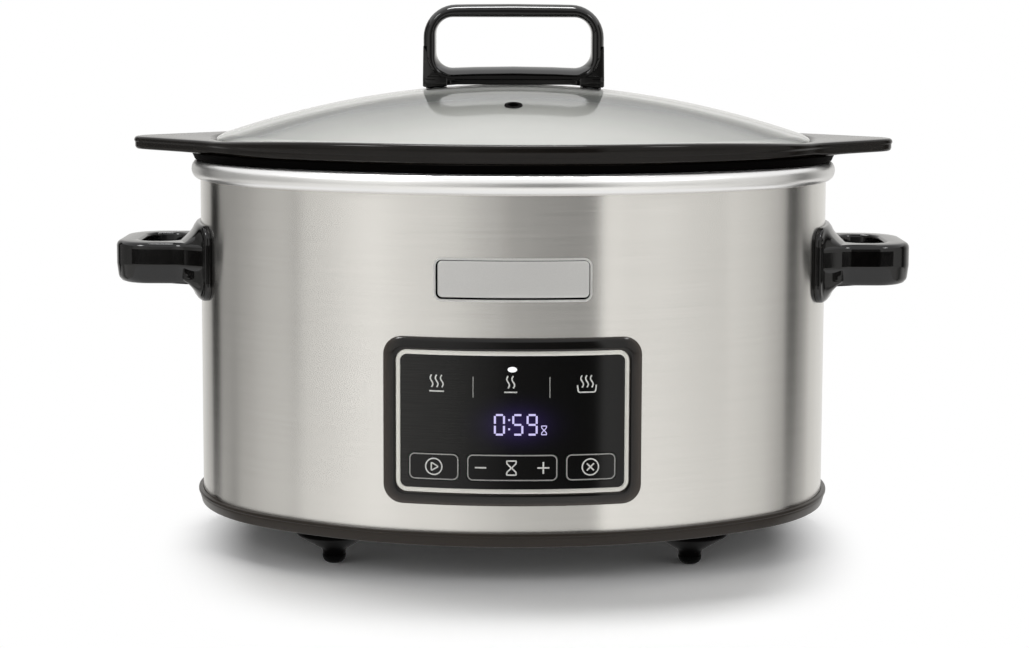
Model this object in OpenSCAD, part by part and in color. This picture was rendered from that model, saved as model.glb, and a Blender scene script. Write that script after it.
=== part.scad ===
// Oval digital slow cooker: a cast cooking pot with flat ears under a domed glass lid, hung in a heated
// well inside a brushed steel sleeve, with a curved control panel on the front. Millimetres, +Z up,
// front towards -Y, origin on the table under the middle of the body.

/* [Body] */
// Half length of the steel sleeve, along X
body_a = 162; // [150:1:175]
// Half depth of the steel sleeve, along Y
body_b = 120; // [112:1:126]
// Thickness of the sleeve's sheet steel
sleeve_wall = 0.6; // [0.4:0.1:1.0]
// Height of the sleeve's visible lower edge above the table
sleeve_low = 25.2; // [22:0.2:30]
// Height of the underside of the rim ring above the table
sleeve_high = 186.5; // [175:0.5:200]

/* [Base] */
// Height of the base ring's lower edge above the table
base_low = 18.4; // [16:0.2:20]
// How far the base ring's lip stands out from the sleeve
base_lip = 2.5; // [1:0.1:4]
// Thickness of the bottom plate
bottom_t = 2; // [1.5:0.1:3]
// Distance of each foot from the sleeve's end, along X
foot_in_x = 73.7; // [65:0.1:90]
// Distance of each foot from the sleeve's front or rear, along Y
foot_in_y = 45; // [42:0.5:55]
// Radius of the wide top of a foot
foot_r = 19; // [14:0.5:20]
// Radius of a foot's rubber pad
pad_r = 5.4; // [4.5:0.1:7]

/* [Rim ring] */
// Radius of the half-round bulge of the rim ring
bulge_r = 4.75; // [3:0.05:6]
// Width of the ring's flat top, inwards from the sleeve
ring_in = 9; // [7:0.5:10]
// Thickness of the ring's walls
ring_t = 2.6; // [2:0.1:3]

/* [Heated well] */
// Thickness of the well's sheet
well_t = 0.8; // [0.5:0.1:1.2]
// Inset of the well's wall from the sleeve at its rim
well_in_top = 10.5; // [10:0.1:12]
// Inset of the well's wall from the sleeve at its floor
well_in_low = 20; // [18:0.5:24]
// Height of the well's floor above the table
well_floor = 86.5; // [80:0.5:92]
// Width of the heating band round the well
heater_h = 36; // [24:1:44]
// Thickness of the heating band
heater_t = 1.5; // [1:0.1:2]

/* [Cooking pot] */
// How far the pot's rim reaches past the sleeve at each end, without its ears
rim_over = 1.5; // [0:0.25:4]
// How far the pot's rim lies inside the sleeve at the front and the rear
rim_inside = 2; // [1:0.25:4]
// Height of the pot's rim above the rim ring
rim_up = 14; // [12:0.2:18]
// Thickness of the pot's wall and floor
pot_t = 4; // [3:0.1:5]
// How far each ear stands out from the rim
ear_out = 33.5; // [28:0.5:40]
// Radius of an ear's tip
ear_tip_r = 13.5; // [10:0.5:18]
// Half width of an ear where it leaves the rim
ear_root = 48; // [40:1:54]
// How far the neck reaches past the rim at each end, under the ears
neck_over = 1.5; // [0:0.25:3]
// How far the neck lies inside the rim at the front and the rear
neck_inside = 4; // [2:0.25:6]
// Thickness of an ear
ear_t = 6.5; // [5:0.1:7]
// Drop of the ears' top below the rim
ear_drop = 2.9; // [2:0.1:4]

/* [Glass lid] */
// Thickness of the glass
glass_t = 4; // [3:0.1:5]
// Rise of the dome above its edge
dome_h = 26.7; // [20:0.1:34]
// Clearance between the glass edge and the pot's rim
lid_gap = 0.5; // [0.4:0.1:1]
// Diameter of the steam vent's hole in the glass
vent_d = 7.4; // [6:0.1:10]
// Distance of the steam vent in front of the middle
vent_y = 60.6; // [50:0.2:75]

/* [Lid handle] */
// Width of the lid handle
grip_w = 93.4; // [80:0.2:110]
// Depth of the lid handle, front to back
grip_d = 22; // [18:0.5:30]
// Height of the hand opening above the dome
grip_stand = 8.8; // [7.5:0.1:12]
// Thickness of the lid handle's hoop
grip_t = 6.4; // [5:0.1:9]
// Outer corner radius of the lid handle
grip_r = 13; // [10:0.5:16]
// Height of the hand opening
grip_open = 26.2; // [22:0.2:30]

/* [Side handles] */
// How far each side handle stands out from the sleeve
handle_out = 45.5; // [40:0.5:55]
// Half width of a side handle
handle_half = 33; // [30:0.5:36]
// Height of a side handle's loop
handle_h = 20; // [16:0.5:24]
// Height of the middle of a side handle above the table
handle_z = 143; // [135:1:150]
// Thickness of a side handle's loop
handle_t = 11.5; // [10:0.5:13]
// Height of the foot plate of a side handle
foot_plate_h = 38.5; // [34:0.5:48]

/* [Control panel] */
// Width of the panel's bezel
panel_w = 123.5; // [121:0.5:127]
// Height of the panel's bezel
panel_h = 80.7; // [78:0.1:86]
// Corner radius of the bezel
panel_r = 9; // [7:0.5:12]
// Height of the panel's middle above the table
panel_z = 78.65; // [76:0.05:82]
// How far the bezel stands out from the sleeve
panel_proud = 1.8; // [1.4:0.1:3]
// Width of the bezel's rim outside the trim line
rim_w = 6; // [5:0.1:7]
// Width of the silver trim line
trim_w = 2.1; // [1.5:0.1:3]
// Thickness of the black fascia
fascia_t = 2; // [1.5:0.1:3]
// Width of the start key and of the cancel key
key_w = 23.9; // [18:0.1:25]
// Space between neighbouring keys
key_space = 3.85; // [3:0.05:6]
// Height of the keys
key_h = 12.9; // [10:0.1:14]
// Height of the keys' middle above the table
key_z = 56.95; // [55:0.05:59]
// Distance of the start and cancel keys from the fascia's edge
key_edge = 4.2; // [3:0.1:6]
// Clearance round each key
key_gap = 0.3; // [0.2:0.05:0.5]
// Depth of the control board behind the steel, at the ends of the panel's neck
board_back = 2.3; // [2:0.1:4]

/* [Badge] */
// Width of the badge plate
badge_w = 77; // [60:0.5:90]
// Height of the badge plate
badge_h = 21.2; // [14:0.1:24]
// Height of the badge's middle above the table
badge_z = 146.5; // [140:0.5:155]

/* [Cord entry] */
// Diameter of the bore of the cord gland
gland_bore = 6.8; // [5:0.1:8]
// Height of the cord gland above the table
gland_z = 48; // [42:1:60]

/* [Hidden] */
$fn = 64;

STEEL = "#cfcdc6";
SILVER = "#c9c8c6";
BLACK = "#1b1a19";
BROWN = "#3c332c";
ZINC = "#a9adb0";
BOARD = "#1f5a3a";

// A small gap left where one piece stands by another without being pressed to it
slip = 0.1;
// The gap under the pot and the lid, which lift off
rest_gap = 0.3;

// Ovals of four arcs that meet without a kink, with half length a and half depth b. The lines on which they
// meet run along (3, 4), and the arcs' centres are kept to eighths of a millimetre.
function oval_step(a, b) = round(4 * (a - b)) / 8;
function end_centre(a, b) = 3 * oval_step(a, b);
function side_centre(a, b) = 4 * oval_step(a, b);
function end_radius(a, b) = a - end_centre(a, b);
function side_radius(a, b) = b + side_centre(a, b);
body_end_r = end_radius(body_a, body_b);
body_side_r = side_radius(body_a, body_b);
end_cx = end_centre(body_a, body_b);
side_cy = side_centre(body_a, body_b);
// Y of the front surface, at an offset outwards from the sleeve, X away from the middle
function front_y(x, off) = side_cy - sqrt(pow(body_side_r + off, 2) - x * x);
// X of the right end's surface, at an offset outwards, Y away from the middle
function end_x(y, off) = end_cx + sqrt(pow(body_end_r + off, 2) - y * y);

// Sizes that follow from the driving ones
groove_z = sleeve_low - 2.2;
ring_top = sleeve_high + 2 * bulge_r;
ring_slot = sleeve_high + 3.8;
plate_top = base_low + bottom_t;
rebate_z = ring_top - well_t;
rebate_in = 4.4;
foot_x = body_a - foot_in_x;
foot_y = body_b - foot_in_y;
pot_seat = ring_top + rest_gap;
pot_a = body_a + rim_over;
pot_b = body_b - rim_inside;
neck_a = pot_a + neck_over;
neck_b = pot_b - neck_inside;
ear_reach = pot_a + ear_out;
handle_reach = body_a + handle_out;
rim_top = ring_top + rim_up;
ear_top = rim_top - ear_drop;
lid_edge_in = 9.7;
ledge_z = rim_top - 6.6;
glass_z = ledge_z + rest_gap;
glass_a = pot_a - lid_edge_in;
glass_b = pot_b - lid_edge_in;
pot_floor = well_floor + well_t + 3.7;

// The point of such an oval where its outward normal has a given angle
function oval_point(a, b, normal) = abs(3 * sin(normal)) < abs(4 * cos(normal))
    ? [sign(cos(normal)) * end_centre(a, b) + end_radius(a, b) * cos(normal), end_radius(a, b) * sin(normal)]
    : [side_radius(a, b) * cos(normal), side_radius(a, b) * sin(normal) - sign(sin(normal)) * side_centre(a, b)];

// The four sectors of an oval: turns and places one long arc's child and one end arc's child, twice. The
// sectors overlap by a hair, so that they fuse at any size.
module oval_sectors(a, b) {
  hair = 0.00004;
  along = 240;
  across = 320;
  for (side = [0, 180]) rotate(side) {
    translate([0, -side_centre(a, b), 0]) intersection() {
      children(0);
      linear_extrude(300) polygon([[0, 0], [along + hair, across], [-along - hair, across]]);
    }
    translate([end_centre(a, b), 0, 0]) intersection() {
      children(1);
      linear_extrude(300) polygon([[0, 0], [along, -across - hair], [along, across + hair]]);
    }
  }
}

// Sweeps a profile, drawn as (offset outwards, height), once round an oval
module oval_sweep(a, b) {
  oval_sectors(a, b) {
    rotate_extrude() translate([side_radius(a, b), 0]) children();
    rotate_extrude() translate([end_radius(a, b), 0]) children();
  }
}

module body_sweep() {
  oval_sweep(body_a, body_b) children();
}

module pot_sweep() {
  oval_sweep(pot_a, pot_b) children();
}

// A flat oval plate, grown outwards by off
module oval_plate(a, b, off, h) {
  oval_sectors(a, b) {
    cylinder(r = side_radius(a, b) + off, h = h);
    cylinder(r = end_radius(a, b) + off, h = h);
  }
}

// A rectangle with round corners, centred
module round_rect(w, h, r) {
  square([w - 2 * r, h], center = true);
  square([w, h - 2 * r], center = true);
  for (x = [-1, 1], y = [-1, 1]) translate([x * (w / 2 - r), y * (h / 2 - r)]) circle(r);
}

// Distances from the middle between which the front wall lies
wall_from = body_b - 20;
wall_to = body_b + 10;

// A prism through the front wall, standing at height z, from y0 to y1 (both distances from the middle)
module front_prism(w, h, r, z, y0, y1, x = 0) {
  translate([x, -y0, z]) rotate([90, 0, 0]) linear_extrude(y1 - y0) round_rect(w, h, r);
}

// The solid cylinder whose skin is the front surface at an offset outwards
module front_drum(off) {
  translate([0, side_cy, 0]) cylinder(r = body_side_r + off, h = ring_top, $fn = 180);
}

// A plate bent to the front surface, between two offsets
module front_plate(w, h, r, z, off0, off1, x = 0) {
  difference() {
    intersection() {
      front_prism(w, h, r, z, wall_from, wall_to, x);
      front_drum(off1);
    }
    front_drum(off0);
  }
}

// A spot on the long arcs: angle from the Y axis, offset outwards, side 1 for the rear or -1 for the front
function side_spot(angle, off, side) =
  [(body_side_r + off) * sin(angle), side * ((body_side_r + off) * cos(angle) - side_cy)];

/* Housing */

module outer_sleeve() {
  color(STEEL)
  difference() {
    body_sweep() translate([-sleeve_wall, groove_z]) square([sleeve_wall, ring_slot - slip - groove_z]);
    front_prism(neck_w + 2 * neck_gap, neck_h + 2 * neck_gap, panel_r - 3, panel_z, wall_from, wall_to);
    for (x = [-1, 1] * badge_pin_x) translate([x, -wall_from, badge_z]) rotate([90, 0, 0])
      cylinder(d = badge_pin_d + 0.4, h = wall_to - wall_from);
    translate([0, wall_from, gland_z]) rotate([-90, 0, 0])
      cylinder(r = gland_r + slip, h = wall_to - wall_from);
    for (side = [0, 180]) rotate(side) handle_screw_spots() translate([0, 0, screw_from])
      cylinder(d = handle_screw_d + 0.4, h = 40);
  }
}

seam_angle = 16;
seam_w = 12;

module rear_seam_strip() {
  color(STEEL)
  translate([0, -side_cy, 0]) rotate(90 - seam_angle)
    rotate_extrude(angle = seam_w / body_side_r * 180 / PI)
      translate([body_side_r - 2 * sleeve_wall - slip, groove_z + 3])
        square([sleeve_wall, ring_slot - groove_z - 16]);
}

module top_ring() {
  slot_out = 0.15;
  slot_in = sleeve_wall + slot_out;
  skirt_z = sleeve_high - 6.5;
  bulge = [for (t = [90:-15:-90])
    [bulge_r * cos(t) + 0.75, sleeve_high + bulge_r + bulge_r * sin(t)]];
  color(SILVER)
  body_sweep() polygon(concat(
    [[-ring_in, rebate_z], [-rebate_in, rebate_z], [-rebate_in, ring_top]],
    bulge,
    [[slot_out, sleeve_high], [slot_out, ring_slot], [-slot_in, ring_slot], [-slot_in, skirt_z],
      [-slot_in - 1.9, skirt_z], [-slot_in - 1.9, ring_top - ring_t], [-ring_in, ring_top - ring_t]]));
}

base_ledge = 14;

module base_ring() {
  groove_out = 0.2;
  groove_in = sleeve_wall + groove_out;
  plate_edge = bottom_in - slip;
  color(BROWN)
  difference() {
    body_sweep() polygon([[0.8, base_low - 0.1], [base_lip, sleeve_low - 1.6], [base_lip, sleeve_low],
      [groove_out, sleeve_low], [groove_out, groove_z], [-groove_in, groove_z], [-groove_in, sleeve_low],
      [-groove_in - 2, sleeve_low], [-groove_in - 2, plate_top + 2], [-base_ledge, plate_top + 2],
      [-base_ledge, plate_top], [-plate_edge, plate_top], [-plate_edge, base_low - 0.1]]);
    bottom_screw_spots() translate([0, 0, plate_top - 1]) cylinder(r = bottom_screw_r + slip, h = 5);
  }
}

/* Base and feet */

bottom_in = 2.1;
bottom_screw_r = 1.25;
bottom_screw_in = 8;
bottom_head_r = 3;

module bottom_screw_spots() {
  for (angle = [-20, 20], side = [-1, 1]) translate(side_spot(angle, -bottom_screw_in, side)) children();
  for (x = [-1, 1]) translate([x * (body_a - bottom_screw_in), 0]) children();
}

module foot_spots() {
  for (x = [-1, 1] * foot_x, y = [-1, 1] * foot_y) translate([x, y]) children();
}

tie_x = 58;
tie_r = 2;
standoff_h = 9.6;
standoff_r = 3.5;

module standoff_spots() {
  translate([0, board_cy]) for (x = [-1, 1] * (power_board_w / 2 - 5), y = [-1, 1] * (power_board_d / 2 - 5))
    translate([x, y]) children();
}

module bottom_plate() {
  slot_l = 34;
  slot_w = 3;
  slot_pitch = 9;
  color(BLACK)
  difference() {
    union() {
      translate([0, 0, base_low]) oval_plate(body_a, body_b, -bottom_in, bottom_t);
      standoff_spots() translate([0, 0, plate_top - 0.5]) cylinder(r = standoff_r, h = standoff_h + 0.5);
    }
    bottom_screw_spots() {
      translate([0, 0, base_low - 1]) cylinder(r = bottom_screw_r + 0.3, h = bottom_t + 2);
      translate([0, 0, base_low - 1]) cylinder(r = bottom_head_r + 0.2, h = 2.2);
    }
    foot_spots() translate([0, 0, base_low - 1]) cylinder(r = foot_screw_r + 0.2, h = bottom_t + 2);
    for (x = [-1, 1] * tie_x) translate([x, 0, base_low - 1]) cylinder(r = tie_r + 0.2, h = bottom_t + 2);
    standoff_spots() translate([0, 0, plate_top + 2]) cylinder(r = board_screw_r + slip, h = standoff_h);
    for (k = [-4:4], y = [-1, 1] * 46) translate([k * slot_pitch, y, base_low - 1])
      translate([-slot_w / 2, -slot_l / 2, 0]) cube([slot_w, slot_l, bottom_t + 2]);
  }
}

foot_screw_r = 1.5;
pad_stem_r = 2.4;
pad_h = 4;
pad_stem_top = 8.8;

module foot(x, y) {
  nub_top = 7;
  slope_top = 15.1;
  color(BLACK)
  translate([x, y, 0]) rotate_extrude() polygon([[0, pad_stem_top + slip],
    [pad_stem_r + slip, pad_stem_top + slip], [pad_stem_r + slip, pad_h], [pad_r + 0.2, pad_h], [pad_r + 0.4, nub_top], [foot_r, slope_top],
    [foot_r, base_low], [foot_screw_r + slip, base_low], [foot_screw_r + slip, 10.4], [0, 10.4]]);
}

module foot_front_left() {
  foot(-foot_x, -foot_y);
}

module foot_front_right() {
  foot(foot_x, -foot_y);
}

module foot_rear_left() {
  foot(-foot_x, foot_y);
}

module foot_rear_right() {
  foot(foot_x, foot_y);
}

module foot_pads() {
  color("#101010")
  foot_spots() rotate_extrude() polygon([[0, 0], [pad_r - 1.8, 0], [pad_r - 0.6, 0.7], [pad_r, 2],
    [pad_r, pad_h], [pad_stem_r, pad_h], [pad_stem_r, pad_stem_top], [0, pad_stem_top]]);
}

module foot_screws() {
  color(ZINC)
  foot_spots() {
    translate([0, 0, 10.8]) cylinder(r = foot_screw_r, h = plate_top - 10.8);
    translate([0, 0, plate_top]) cylinder(r = 3.2, h = 2);
  }
}

module bottom_screws() {
  color(ZINC)
  bottom_screw_spots() {
    translate([0, 0, base_low - 0.2]) cylinder(r = bottom_head_r, h = 1.4);
    translate([0, 0, base_low + 1.2]) cylinder(r = bottom_screw_r, h = bottom_t + 1.2);
  }
}

/* Heated well */

// Offset of the well's outer face from the sleeve, at a height
function well_off(z) =
  -well_in_low + (z - well_floor - 5.5) / (rebate_z - well_floor - 5.5) * (well_in_low - well_in_top);
sensor_r = 6;

module heating_well() {
  corner = 5.5;
  flat = 24;
  color(ZINC)
  difference() {
    union() {
      body_sweep() polygon([[-rebate_in - 0.2, rebate_z], [-rebate_in - 0.2, ring_top],
        [-well_in_top - well_t, ring_top], [-well_in_low - well_t, well_floor + corner + 0.4],
        [-flat - 0.4, well_floor + well_t], [-flat - 20, well_floor + well_t], [-flat - 20, well_floor],
        [-flat, well_floor], [-well_in_low, well_floor + corner], [-well_in_top, rebate_z]]);
      translate([0, 0, well_floor]) oval_plate(body_a, body_b, -flat - 10, well_t);
    }
    translate([0, 0, well_floor - 1]) cylinder(r = sensor_r + 0.5, h = 4);
  }
}

heater_low = well_floor + 9.5;
heater_top = heater_low + heater_h;

module heating_band() {
  color("#8b6f4a")
  body_sweep() polygon([[well_off(heater_low) + slip, heater_low],
    [well_off(heater_low) + slip + heater_t, heater_low],
    [well_off(heater_top) + slip + heater_t, heater_top], [well_off(heater_top) + slip, heater_top]]);
}

strap_h = 10;
strap_t = 0.5;

module heater_strap() {
  low = heater_low + heater_h / 2 - strap_h / 2;
  high = low + strap_h;
  lift = 2 * slip + heater_t;
  color(ZINC)
  body_sweep() polygon([[well_off(low) + lift, low], [well_off(low) + lift + strap_t, low],
    [well_off(high) + lift + strap_t, high], [well_off(high) + lift, high]]);
}

fuse_r = 2;
fuse_z = heater_top + 8;
fuse_x = body_a + well_off(fuse_z) + fuse_r + 1.2;

module thermal_fuse() {
  color("#d8c9a0")
  translate([fuse_x, -9, fuse_z]) rotate([-90, 0, 0]) cylinder(r = fuse_r, h = 18);
}

module fuse_clip() {
  half = 5;
  inner = body_a + well_off(fuse_z + half) + slip;
  color(ZINC)
  difference() {
    translate([inner, -3, fuse_z - half]) cube([fuse_x + fuse_r + 1 - inner, 6, 2 * half]);
    translate([fuse_x, -10, fuse_z]) rotate([-90, 0, 0]) cylinder(r = fuse_r + slip, h = 20);
  }
}

sensor_low = well_floor - 6;

module pot_sensor() {
  color(ZINC)
  rotate_extrude() polygon([[0, sensor_low], [sensor_r, sensor_low], [sensor_r, well_floor + 2],
    [sensor_r + 2, well_floor + 2], [sensor_r + 2, pot_floor - 0.3], [0, pot_floor - 0.3]]);
}

bracket_z = well_floor - 14;
bracket_t = 1;

module sensor_spring() {
  wire_r = 0.5;
  coils = 4;
  low = bracket_z + bracket_t;
  color("#8d9296")
  difference() {
    translate([0, 0, low]) cylinder(r = sensor_r - 1, h = sensor_low - low);
    translate([0, 0, low - 1]) cylinder(r = sensor_r - 1 - 2 * wire_r, h = sensor_low - low + 2);
    for (k = [1:coils]) translate([0, 0, low + k * (sensor_low - low) / (coils + 1)])
      rotate_extrude() translate([sensor_r - 1, 0]) circle(r = wire_r * 0.8);
  }
}

module sensor_bracket() {
  half = 15;
  color(ZINC) {
    translate([-half, -6, bracket_z]) cube([2 * half, 12, bracket_t]);
    for (x = [-half, half - bracket_t]) translate([x, -6, bracket_z])
      cube([bracket_t, 12, well_floor - bracket_z]);
  }
}

nut_h = 3;

module tie_rods() {
  color(ZINC)
  for (x = [-1, 1] * tie_x) translate([x, 0, base_low - nut_h - 1])
    cylinder(r = tie_r, h = well_floor - base_low + nut_h + 1);
}

module tie_nuts() {
  color(ZINC)
  for (x = [-1, 1] * tie_x) translate([x, 0, base_low - nut_h]) difference() {
    cylinder(r = 4, h = nut_h, $fn = 6);
    translate([0, 0, -1]) cylinder(r = tie_r + 0.05, h = nut_h + 2);
  }
}

/* Power board under the well */

power_board_w = 96;
power_board_d = 56;
board_cy = 38;
board_t = 1.6;
board_low = plate_top + standoff_h;
board_top = board_low + board_t;
board_screw_r = 1.3;

module power_board() {
  color(BOARD)
  difference() {
    translate([-power_board_w / 2, board_cy - power_board_d / 2, board_low])
      cube([power_board_w, power_board_d, board_t]);
    standoff_spots() translate([0, 0, board_low - 1]) cylinder(r = board_screw_r + 0.2, h = board_t + 2);
  }
}

module power_board_screws() {
  color(ZINC)
  standoff_spots() {
    translate([0, 0, board_low - 6]) cylinder(r = board_screw_r, h = board_t + 6);
    translate([0, 0, board_top]) cylinder(r = 2.6, h = 1.8);
  }
}

module relay() {
  color("#2b4f8c")
  translate([-36, board_cy - 8, board_top]) cube([19, 15.5, 15.5]);
}

module transformer() {
  color("#d6b13c") {
    translate([-4, board_cy - 13, board_top]) cube([28, 24, 4]);
    translate([0, board_cy - 9, board_top + 4]) cube([20, 16, 16]);
  }
}

module capacitors() {
  color("#26313a")
  for (x = [29, 38], y = [-8, 6]) translate([x, board_cy + y, board_top]) cylinder(r = 3.5, h = 13);
}

lead_r = 1.2;
lead_x = 22;

module heater_leads() {
  drop_y = -front_y(lead_x, well_off(heater_low) + slip + lead_r);
  turn_z = board_top + 6;
  end_y = board_cy + 18;
  color("#e6e2d8")
  for (x = [-1, 1] * lead_x) {
    translate([x, drop_y, turn_z]) cylinder(r = lead_r, h = heater_low - turn_z);
    translate([x, drop_y, turn_z]) sphere(r = lead_r, $fn = 32);
    translate([x, end_y, turn_z]) rotate([-90, 0, 0]) cylinder(r = lead_r, h = drop_y - end_y);
    translate([x, end_y, turn_z]) sphere(r = lead_r, $fn = 32);
    translate([x, end_y, board_top]) cylinder(r = lead_r, h = turn_z - board_top);
  }
}

module ribbon_cable() {
  back = -board_y + board_t;
  front_edge = board_cy - power_board_d / 2;
  t = 0.8;
  color("#b9bcc0")
  translate([-8, 0, 0]) rotate([90, 0, 90]) linear_extrude(16) polygon([[back, 46], [back + 3, 46],
    [back + 3, plate_top + 4], [back + 6, plate_top + t], [front_edge - 6, plate_top + t],
    [front_edge, board_low], [front_edge + 5, board_low], [front_edge + 5, board_low - t],
    [front_edge + 0.6, board_low - t], [front_edge - 5.4, plate_top], [back + 5.6, plate_top],
    [back + 2.2, plate_top + 3.6], [back + 2.2, 45.2], [back, 45.2]]);
}

/* Cord entry */

gland_r = 6.1;

module cord_gland() {
  inside = body_b - 9;
  color(BLACK)
  translate([0, 0, gland_z]) rotate([-90, 0, 0]) rotate_extrude() polygon([[gland_bore / 2, inside],
    [gland_r, inside], [gland_r, body_b + slip], [gland_r + 3, body_b + slip], [gland_r + 3, body_b + 2],
    [gland_r + 1.4, body_b + 4], [gland_bore / 2, body_b + 4]]);
}

module gland_nut() {
  face = body_b - sleeve_wall - 0.5;
  color(BLACK)
  translate([0, 0, gland_z]) rotate([-90, 0, 0]) rotate_extrude() polygon([[gland_r + 0.05, face - 4],
    [gland_r + 3.4, face - 4], [gland_r + 3.4, face], [gland_r + 0.05, face]]);
}

/* Side handles */

handle_screw_d = 4;
handle_screw_y = 25;
handle_plate_t = 1.5;
screw_from = body_a - 22;

// Places children at each handle screw of the right side, with Z turned to point outwards along X
module handle_screw_spots() {
  for (y = [-1, 1] * handle_screw_y) translate([0, y, handle_z]) rotate([0, 90, 0]) children();
}

module side_handle_right() {
  root_in = 9;
  loop_r = 20;
  hole_in = body_a + 9.5;
  hole_out = handle_reach - handle_t;
  hole_half = handle_half - handle_t;
  plate_turn = 26;
  color(BLACK)
  difference() {
    union() {
      translate([(body_a + handle_reach) / 2 - 15, 0, handle_z - handle_h / 2]) linear_extrude(handle_h)
        round_rect(handle_reach - body_a + 30, 2 * handle_half, loop_r);
      translate([end_cx, 0, handle_z]) rotate(-plate_turn) rotate_extrude(angle = 2 * plate_turn)
        translate([body_end_r - 1, 0]) polygon([[0, -foot_plate_h / 2], [4, -foot_plate_h / 2],
          [root_in, 2 - handle_h / 2], [root_in, handle_h / 2 - 2], [4, foot_plate_h / 2],
          [0, foot_plate_h / 2]]);
    }
    translate([end_cx, 0, 0]) cylinder(r = body_end_r + slip, h = ring_top, $fn = 180);
    translate([(hole_in + hole_out) / 2, 0, handle_z - foot_plate_h]) linear_extrude(2 * foot_plate_h)
      round_rect(hole_out - hole_in, 2 * hole_half, 9);
    handle_screw_spots() translate([0, 0, screw_from]) cylinder(d = handle_screw_d + 0.2, h = 32);
  }
}

module side_handle_left() {
  rotate(180) side_handle_right();
}

module handle_plates() {
  turn = asin((handle_screw_y + 4.9) / (body_end_r - sleeve_wall - slip - handle_plate_t));
  color(ZINC)
  for (side = [0, 180]) rotate(side) difference() {
    translate([end_cx, 0, handle_z - 8]) rotate(-turn) rotate_extrude(angle = 2 * turn)
      translate([body_end_r - sleeve_wall - slip - handle_plate_t, 0]) square([handle_plate_t, 16]);
    handle_screw_spots() translate([0, 0, screw_from]) cylinder(d = handle_screw_d + 0.4, h = 40);
  }
}

module handle_screws() {
  head_r = 3.8;
  seat = end_x(handle_screw_y + head_r, -sleeve_wall - slip - handle_plate_t) - slip / 2;
  color(ZINC)
  for (side = [0, 180]) rotate(side) handle_screw_spots() {
    translate([0, 0, seat - 2.4]) cylinder(r = head_r, h = 2.4);
    translate([0, 0, seat]) cylinder(d = handle_screw_d, h = 14);
  }
}

/* Badge */

badge_pin_x = 28;
badge_pin_d = 3;

module badge_plate() {
  border = 1.8;
  color(STEEL) {
    front_plate(badge_w, badge_h, 3, badge_z, slip, 0.6);
    front_plate(badge_w - 2 * border, badge_h - 2 * border, 2, badge_z, 0.3, 1.1);
    for (x = [-1, 1] * badge_pin_x) intersection() {
      translate([x, 10 - body_b, badge_z]) rotate([90, 0, 0]) cylinder(d = badge_pin_d, h = 20);
      difference() {
        front_drum(0.3);
        front_drum(-2.4);
      }
    }
  }
}

/* Control panel */

neck_gap = 0.3;
neck_w = panel_w - 6.5;
neck_h = panel_h - 6.5;
trim_out_w = panel_w - 2 * rim_w;
trim_out_h = panel_h - 2 * rim_w;
fascia_w = trim_out_w - 2 * trim_w - 0.2;
fascia_h = trim_out_h - 2 * trim_w - 0.2;
fascia_out = 0.8;
fascia_in = fascia_out - fascia_t;
key_x = fascia_w / 2 - key_edge - key_w / 2;
timer_w = 2 * key_x - key_w - 2 * key_space;
board_y = -front_y(neck_w / 2, -sleeve_wall) - board_back;
panel_shelf = 2.2;
pilot_x = neck_w / 2 - 3.4;
pilot_z = neck_h / 2 - 3.2;

// The timer key rocks on a pin held by two lugs behind the fascia
pin_r = 0.8;
pin_y = body_b - 8;
lug_t = 2;
lug_half = 2.2;
lug_edge = key_h / 2 + key_gap + 0.6;

module control_board_spots() {
  for (x = [-1, 1] * pilot_x, z = [-1, 1] * pilot_z)
    translate([x, -board_y, panel_z + z]) rotate([90, 0, 0]) children();
}

module panel_bezel() {
  color(BLACK)
  difference() {
    union() {
      front_plate(panel_w, panel_h, panel_r, panel_z, slip, panel_proud);
      intersection() {
        front_prism(neck_w, neck_h, panel_r - 3, panel_z, board_y, wall_to);
        front_drum(panel_proud / 2);
      }
    }
    difference() {
      front_prism(trim_out_w, trim_out_h, panel_r - rim_w + 1.5, panel_z, wall_from, wall_to);
      front_drum(fascia_in);
    }
    front_prism(fascia_w - 2 * panel_shelf, fascia_h - 2 * panel_shelf, 2, panel_z, wall_from, wall_to);
    translate([-lug_half - 0.4, -body_b, key_z - lug_edge - lug_t - 0.3])
      cube([2 * lug_half + 0.8, body_b - board_y + 1, 6]);
    control_board_spots() translate([0, 0, -1]) cylinder(r = 1.1, h = 4.5);
  }
}

module panel_trim() {
  color(SILVER)
  difference() {
    front_plate(trim_out_w - 0.2, trim_out_h - 0.2, panel_r - rim_w + 1.4, panel_z, fascia_in, 1.3);
    front_prism(fascia_w + 0.2, fascia_h + 0.2, 2.4, panel_z, wall_from, wall_to);
  }
}

module panel_fascia() {
  color(BLACK)
  difference() {
    union() {
      difference() {
        front_plate(fascia_w, fascia_h, 2.3, panel_z, fascia_in, fascia_out);
        for (x = [-1, 1] * key_x)
          front_prism(key_w + 2 * key_gap, key_h + 2 * key_gap, 3, key_z, wall_from, wall_to, x);
        front_prism(timer_w + 2 * key_gap, key_h + 2 * key_gap, 3, key_z, wall_from, wall_to);
      }
      for (z = [key_z - lug_edge - lug_t, key_z + lug_edge])
        translate([-lug_half, -body_b - fascia_in + 0.4 - 1, z])
          cube([2 * lug_half, body_b + fascia_in + 0.6 - pin_y + lug_half, lug_t]);
    }
    translate([0, -pin_y, key_z - 20]) cylinder(r = pin_r + 0.02, h = 40);
  }
}

module timer_key_pin() {
  half = lug_edge + lug_t;
  color(ZINC)
  translate([0, -pin_y, key_z - half]) cylinder(r = pin_r, h = 2 * half);
}

module panel_clips() {
  grip = 5.5;
  tall = 8;
  color(ZINC)
  for (x = [-1, 1], z = [-1, 1] * 22) intersection() {
    translate([x > 0 ? neck_w / 2 : -neck_w / 2 - grip, -body_b, panel_z + z - tall / 2])
      cube([grip, body_b - board_y + 2, tall]);
    front_drum(-sleeve_wall);
  }
}

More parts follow.
